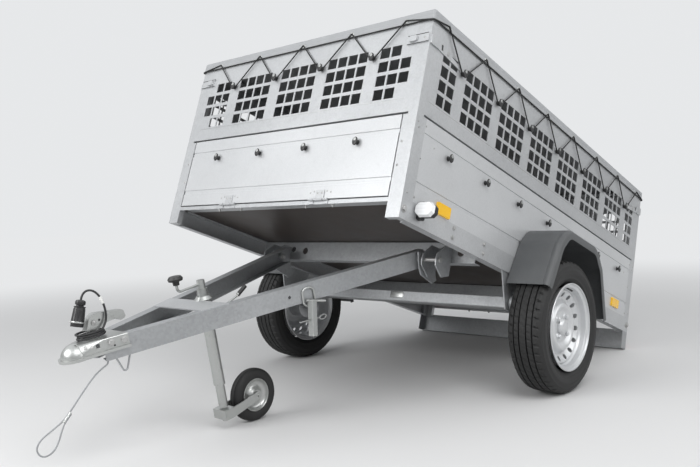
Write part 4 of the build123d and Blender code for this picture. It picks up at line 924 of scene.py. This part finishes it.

# ---- screws and bolts on the bed
# Columns: x or y, height above the floor, head's radius
side_screws = (
    (994, 279, 4.6), (986, 260, 4.6), (945, 279, 4.0), (987, 22, 5.2), (946, 18, 5.2), (948, 158, 3.6),
    (880, 221, 3.6),
)
front_screws = ((605, 203, 5.0), (602, 116, 5.0))
skirt_bolts = ((683, -14), (683, -50), (466, -15), (463, -50))
corner_bolt_x, corner_bolt_z = 989, -37
bm = bmesh.new()
for side in sides:
    away = (0, side, 0)
    for x, z, r in side_screws:
        for end in (x, 2 * mid - x):
            screw(bm, (end, side * side_out, bed_floor + z), away, r, 2.6)
    for y, z, r in front_screws:
        for face, way in ends:
            screw(bm, (face, side * y, bed_floor + z), (way, 0, 0), r, 2.6)
    for x, z in skirt_bolts:
        hex_bolt(bm, (x, side * side_out, bed_floor + z), away, 11, 4.5, 9, x * 0.7)
    for x, turn in ((corner_bolt_x, 0.5), (2 * mid - corner_bolt_x, 0.9)):
        hex_bolt(bm, (x, side * side_out, bed_floor + corner_bolt_z), away, 17, 7, 15, turn)
on_bed("bed_screws", bm, "bolt_zinc")

# ---- coupling details
# Places on the drawbar as (along it, across it, above it). The beams run in toward the coupling.
beam_slope, beam_start, plate_out = radians(16.43), 410.0, 3.97


def web_out(u):
    """Outside of the coupling's side where it covers the beams."""
    return beam_start - u * tan(beam_slope) + plate_out


bm = bmesh.new()
for side in sides:
    away = (sin(beam_slope), side * cos(beam_slope), 0)
    for u, w, turn in ((1153, 21, 0.3), (1192, 23, 0.9)):
        at = Vector((u, side * web_out(u), w))
        if side > 0:
            hex_bolt(bm, at, away, 17, 7, 11.5, turn)
        else:
            nut(bm, at, away, 17, 8, 5, 5, turn)
    for u, y, w, r in ((1269, 41.0, 28, 6.2), (1251, 46.6, 25, 5.4)):
        knob = [(0, -5), (r, -5), (r, 2.6), (r * 0.85, 3.6), (0, 3.9)]
        turned(bm, toward((u, side * y, w), (0.25, side * 0.9, 0.36)), knob, 16)
    pivot = [(0, 0), (9, 0), (9, 1.6), (5.6, 1.8), (5.2, 4.2), (3.6, 5.2), (0, 5.4)]
    turned(bm, toward((1210, side * 15.4, 90), (0, side, 0)), pivot, 20)
on_bar("coupling_bolts", bm, "bolt_zinc")

# Thin black discs of painted shade, where the coupling's side and top have holes.
bm = bmesh.new()
web_hole, away = (1183, web_out(1183) - 0.4, 11), (sin(beam_slope), cos(beam_slope), 0)
turned(bm, toward(web_hole, away), [(0, 0.5), (3.2, 0.6), (3.4, 0)], 14)
turned(bm, toward((1190, 13.6, 93), (0, 1, 0)), [(0, 0.5), (4.0, 0.6), (4.2, 0)], 14)
on_bar("coupling_hole_shade", bm, "black_plastic")

# ---- plug on its holder
plug_foot, plug_way = Vector((1261, 0, 91)), Vector((-0.379, 0, 0.925)).normalized()
bm = bmesh.new()
ring = [(20.2, 0), (21.6, 0.2), (22.0, 1.4), (22.0, 3.4), (21.6, 4.8), (20.2, 5)]
turned(bm, toward(plug_foot + plug_way * 11.6, plug_way), ring, 36)
for k in range(3):
    a = radians(120 * k + 40)
    ear = toward(plug_foot + plug_way * 14, plug_way) @ spin(a, 4, "Z")
    slab(bm, ear @ move((22.6, 0, 0)), (3.0, 7, 4.4), 0.8)
on_bar("plug_ring", bm, "plated")

plug_line = [
    (0, 0), (19.6, 0), (20, 0.8), (20, 12), (20, 16), (19.4, 17), (18.2, 44), (16.9, 58), (16.4, 60),
    (18.2, 60.6), (18.4, 63.4), (17.6, 64), (11.5, 65), (11.5, 68), (14.6, 69), (15.3, 70.4),
    (15.3, 80), (14.2, 82.4), (9, 84.6), (5.4, 85), (0, 85),
]
bm = bmesh.new()
base = toward(plug_foot, plug_way)
turned(bm, base, plug_line, 40)
for k in range(12):
    spoke = base @ spin(2 * pi * k / 12, 4, "Z")
    rib = spoke @ move((18.2, 0, 38)) @ spin(radians(-3.4), 4, "Y")
    slab(bm, rib, (1.8, 2.6, 38), 0.6)
    slab(bm, spoke @ move((15.2, 0, 75)), (1.4, 3.2, 8), 0.5)
plug_shell = on_bar("plug_shell", bm, "black_plastic")
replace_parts(plug_shell, "plug")

# ---- jockey wheel
# Half sections as (radius, distance from the middle)
jockey_half = [
    (62, 19), (63.4, 21.5), (66, 23), (72, 24.6), (79, 25), (86, 24.4), (91, 22), (95.5, 18.4),
    (98, 14.6), (99.2, 11), (99.4, 9.6), (97.4, 9), (97.4, 7.4), (99.8, 6.8), (100, 2),
]
dish_half = [
    (61.6, 17), (62.6, 19.6), (61.8, 21.4), (59.8, 21.8), (58, 20.2), (56.8, 16.5), (53.5, 11.4),
    (48, 8.2), (42, 7), (36, 7.2), (31, 9), (27.4, 12.8), (24.8, 17.4), (21.6, 20.4), (20, 23),
    (19.6, 26), (8, 26), (6.1, 25.4),
]
rivet_circle, dish_face = 39.5, 7
across = spin(-pi / 2, 4, "X")


def both_halves(half):
    return half + [(r, -out) for r, out in reversed(half)]


bm = bmesh.new()
turned(bm, across, both_halves(jockey_half), 72, closed=True)
jockey_tread = made("jockey_tread", bm, jockey_mm, "jockey_wheel", "rubber")
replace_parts(jockey_tread, "jockey_tyre")
bm = bmesh.new()
turned(bm, across, both_halves(dish_half), 64, closed=True)
for side in sides:
    for k in range(5):
        a = 2 * pi * k / 5 + 0.4
        at = across @ Vector((rivet_circle * cos(a), rivet_circle * sin(a), side * dish_face))
        rivet(bm, at, (0, side, 0), 3.6, 1.8)
jockey_dish = made("jockey_dish", bm, jockey_mm, "jockey_wheel", "plated")
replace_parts(jockey_dish, "jockey_rim")

# ---- hinge bolts, grommets, blank plate and tag
hinge_x, hinge_z, bolt_in, bolt_out, nut_out = 530.0, 138.0, 373, 500.2, 386.6
bm = bmesh.new()
for side in sides:
    shank = [(0, 0), (6.4, 0), (7.9, 1.6), (7.9, 128), (0, 128)]
    turned(bm, toward((hinge_x, side * bolt_in, hinge_z), (0, side, 0)), shank, 28)
    hex_bolt(bm, (hinge_x, side * bolt_out, hinge_z), (0, side, 0), 20.4, 5.6, 12, 0.3)
    nut(bm, (hinge_x, side * nut_out, hinge_z), (0, -side, 0), 20.4, 7.6, 5, 1, 0.7)
hinge_set = on_bed("hinge_bolt_set", bm, "bolt_zinc")
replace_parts(hinge_set, "hinge_bolts")

bm = bmesh.new()
for side in sides:
    grommet = [(0, 0.4), (5, 0.6), (6, 3.2), (9.5, 3.6), (12, 2.6), (12.6, 0)]
    turned(bm, toward((450, side * 408, 195), (1, 0, 0)), grommet, 24)
on_bed("member_grommets", bm, "black_plastic")

# The plate's face on the axle tube, its middle and its size across and up
plate_x, plate_y, plate_z, plate_wide, plate_high = 208.5, 66, 53, 74, 29
bm = bmesh.new()
slab(bm, move((plate_x, plate_y, plate_z)), (1.0, plate_wide, plate_high), 0.4)
on_bed("axle_plate", bm, "plated")
bm = bmesh.new()
for y, z, wide, high in (
    (0, 13.6, 70, 1.4), (0, -13.6, 70, 1.4), (-34.4, 0, 1.4, 27), (34.4, 0, 1.4, 27),
):
    slab(bm, move((plate_x + 0.6, plate_y + y, plate_z + z)), (0.5, wide, high))
on_bed("axle_plate_border", bm, "black_plastic")

bm = bmesh.new()
slab(bm, toward((1170.6, 17.4, 153), (5, -4, 26)), (11, 8.8, 24), 1.6, 3)
lead_tag = on_bar("lead_tag", bm, "white_tag")

# ---- corner latches
latch_z, latch_proud, lever_face = 829.0, 4.0, 654.5
boss = [(0, 0), (9.5, 0), (9.5, 1.0), (7.4, 1.2), (6.6, 2.0), (0, 2.2)]
# The black strips are painted shade: thin lines along each latch plate's upper and lower edges, and marks
# on the levers' sides where their slots are shaded.
dark, bright = bmesh.new(), bmesh.new()
for side in sides:
    away = (0, side, 0)
    for face, way in ends:
        front = face + way * latch_proud
        for z in (latch_z - 16.5, latch_z + 16.5):
            slab(dark, move((front + way * 0.2, side * 597, z)), (0.8, 92, 2.6))
        for y in (566, 628):
            rivet(bright, (front, side * y, latch_z), (way, 0, 0), 4.5, 2.0)
        for back, z in ((44, 824), (72, 820)):
            at = move((face - way * back, side * (lever_face + 0.2), z))
            slab(dark, at @ spin(radians(way * 8), 4, "Y"), (9, 0.8, 20))
        turned(bright, toward((face - way * 112, side * lever_face, 815), away), boss, 24)
        rivet(bright, (face - way * 14, side * side_out, latch_z - 4), away, 4.5, 2.0)
on_bed("latch_slot_shade", dark, "black_plastic")
on_bed("latch_rivets", bright, "bolt_zinc")

# ---- rivets, sill bolts and painted shade along the folds
gate_hinge_at, fold_z = 262.0, 602.0
for gate, (face, way) in zip(("front_gate", "rear_gate"), ends):
    bm = bmesh.new()
    for side in sides:
        for out, z in ((-52, 31), (-33, 36), (33, 36), (52, 31)):
            rivet(bm, (face, side * (gate_hinge_at + out), bed_floor + z), (way, 0, 0), 3.6, 1.8)
        for out in (-11, 11):
            at = (face + way * 3, side * (gate_hinge_at + out), bed_floor + 28)
            rivet(bm, at, (way, 0, 0), 4.4, 2.0)
    on_bed(gate + "_rivets", bm, "bolt_zinc", body=gate)

bm = bmesh.new()
for face, way in ends:
    for y in (-325, -187, 187, 325):
        nut(bm, (face - way * 12, y, sill_low), (0, 0, -1), 10, 4.5, 3, 3, y)
on_bed("sill_bolts", bm, "bolt_zinc")

# A slight bead at each wall's fold, in darker zinc that is painted shade along the crease.
bm = bmesh.new()
for face, way in ends:
    slab(bm, move((face + way * 0.2, 0, fold_z)), (0.6, 1160, 1.6), 0.25)
for side in sides:
    slab(bm, move((mid, side * (side_out + 0.2), fold_z)), (1930, 0.6, 1.6), 0.25)
on_bed("wall_fold_shade", bm, "bolt_zinc")

# ---- floor
# Far from the object the floor turns into the pale backdrop, for what the camera and shiny parts see.
backdrop_from, backdrop_to, backdrop_colour = 2.2, 7.5, (0.80, 0.81, 0.82, 1)
bm = bmesh.new()
bmesh.ops.create_grid(bm, x_segments=1, y_segments=1, size=30)
floor_mesh = bare_mesh("floor_mesh", bm)
floor = placed("studio_floor", floor_mesh)
floor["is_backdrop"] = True
m, nt, bsdf = new_material("floor_paint")
v = places(nt)
feed(nt, bsdf, {"Base Color": ramp(nt, noise(nt, v, 0.6), [(0.3, 0.74), (0.7, 0.76)]), "Roughness": 0.8})
distance = node(nt, "VectorMath", {0: v}, operation="LENGTH").outputs["Value"]
far = ranged(nt, distance, (0.0, 1.0), (backdrop_from, backdrop_to), "SMOOTHSTEP")
ray = node(nt, "LightPath").outputs
seen = math_of(nt, "MAXIMUM", ray["Is Camera Ray"], ray["Is Glossy Ray"])
glow = node(nt, "Emission", {"Color": backdrop_colour}).outputs["Emission"]
shaders = {0: math_of(nt, "MULTIPLY", far, seen), 1: bsdf.outputs["BSDF"], 2: glow}
out = next(n for n in nt.nodes if n.type == "OUTPUT_MATERIAL")
feed(nt, out, {"Surface": node(nt, "MixShader", shaders).outputs["Shader"]})
floor_mesh.materials.append(m)

# ---- room and lights
# The room is brighter to the eye than as a light, and shiny parts mirror it darker towards the horizon
# than overhead.
lighting_level, seen_level, mirrored_low, mirrored_high = 0.50, 0.82, 0.20, 1.15
world = bpy.data.worlds.new("studio")
scene.world = world
world.use_nodes = True
nt = world.node_tree
nt.nodes.clear()
ray = node(nt, "LightPath").outputs
seen = math_of(nt, "MAXIMUM", ray["Is Camera Ray"], ray["Is Glossy Ray"])
seen = math_of(nt, "MAXIMUM", seen, ray["Is Transmission Ray"])
level = ranged(nt, seen, (lighting_level, seen_level))
way = node(nt, "TexCoord").outputs["Generated"]
height = node(nt, "SeparateXYZ", {0: way}).outputs["Z"]
mirrored = ranged(nt, height, (mirrored_low, mirrored_high), (-0.15, 0.75), "SMOOTHSTEP")
strength = node(nt, "Mix", {0: ray["Is Glossy Ray"], 2: level, 3: mirrored}).outputs[0]
room = node(nt, "Background", {"Color": (0.97, 0.985, 1.0, 1), "Strength": strength})
node(nt, "OutputWorld", {"Surface": room.outputs["Background"]})


def area(name, where, target, size, power):
    """A rectangular light that shines at a target."""
    data = bpy.data.lights.new(name, "AREA")
    data.shape = "RECTANGLE"
    data.size, data.size_y = size
    data.energy = power
    o = placed(name, data)
    o.location = where
    o.rotation_mode = "QUATERNION"
    o.rotation_quaternion = (Vector(target) - Vector(where)).to_track_quat("-Z", "Y")


area("front", (4.6, -1.2, 2.6), (0.4, 0, 0.7), (3.0, 2.4), 125)
area("key", (2.2, 3.2, 4.4), (0.0, 0.2, 0.7), (3.0, 3.0), 110)
area("side", (-1.5, 5.0, 2.4), (-0.2, 0.5, 0.7), (4.0, 2.5), 55)

bpy.context.view_layer.update()
low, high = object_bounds()
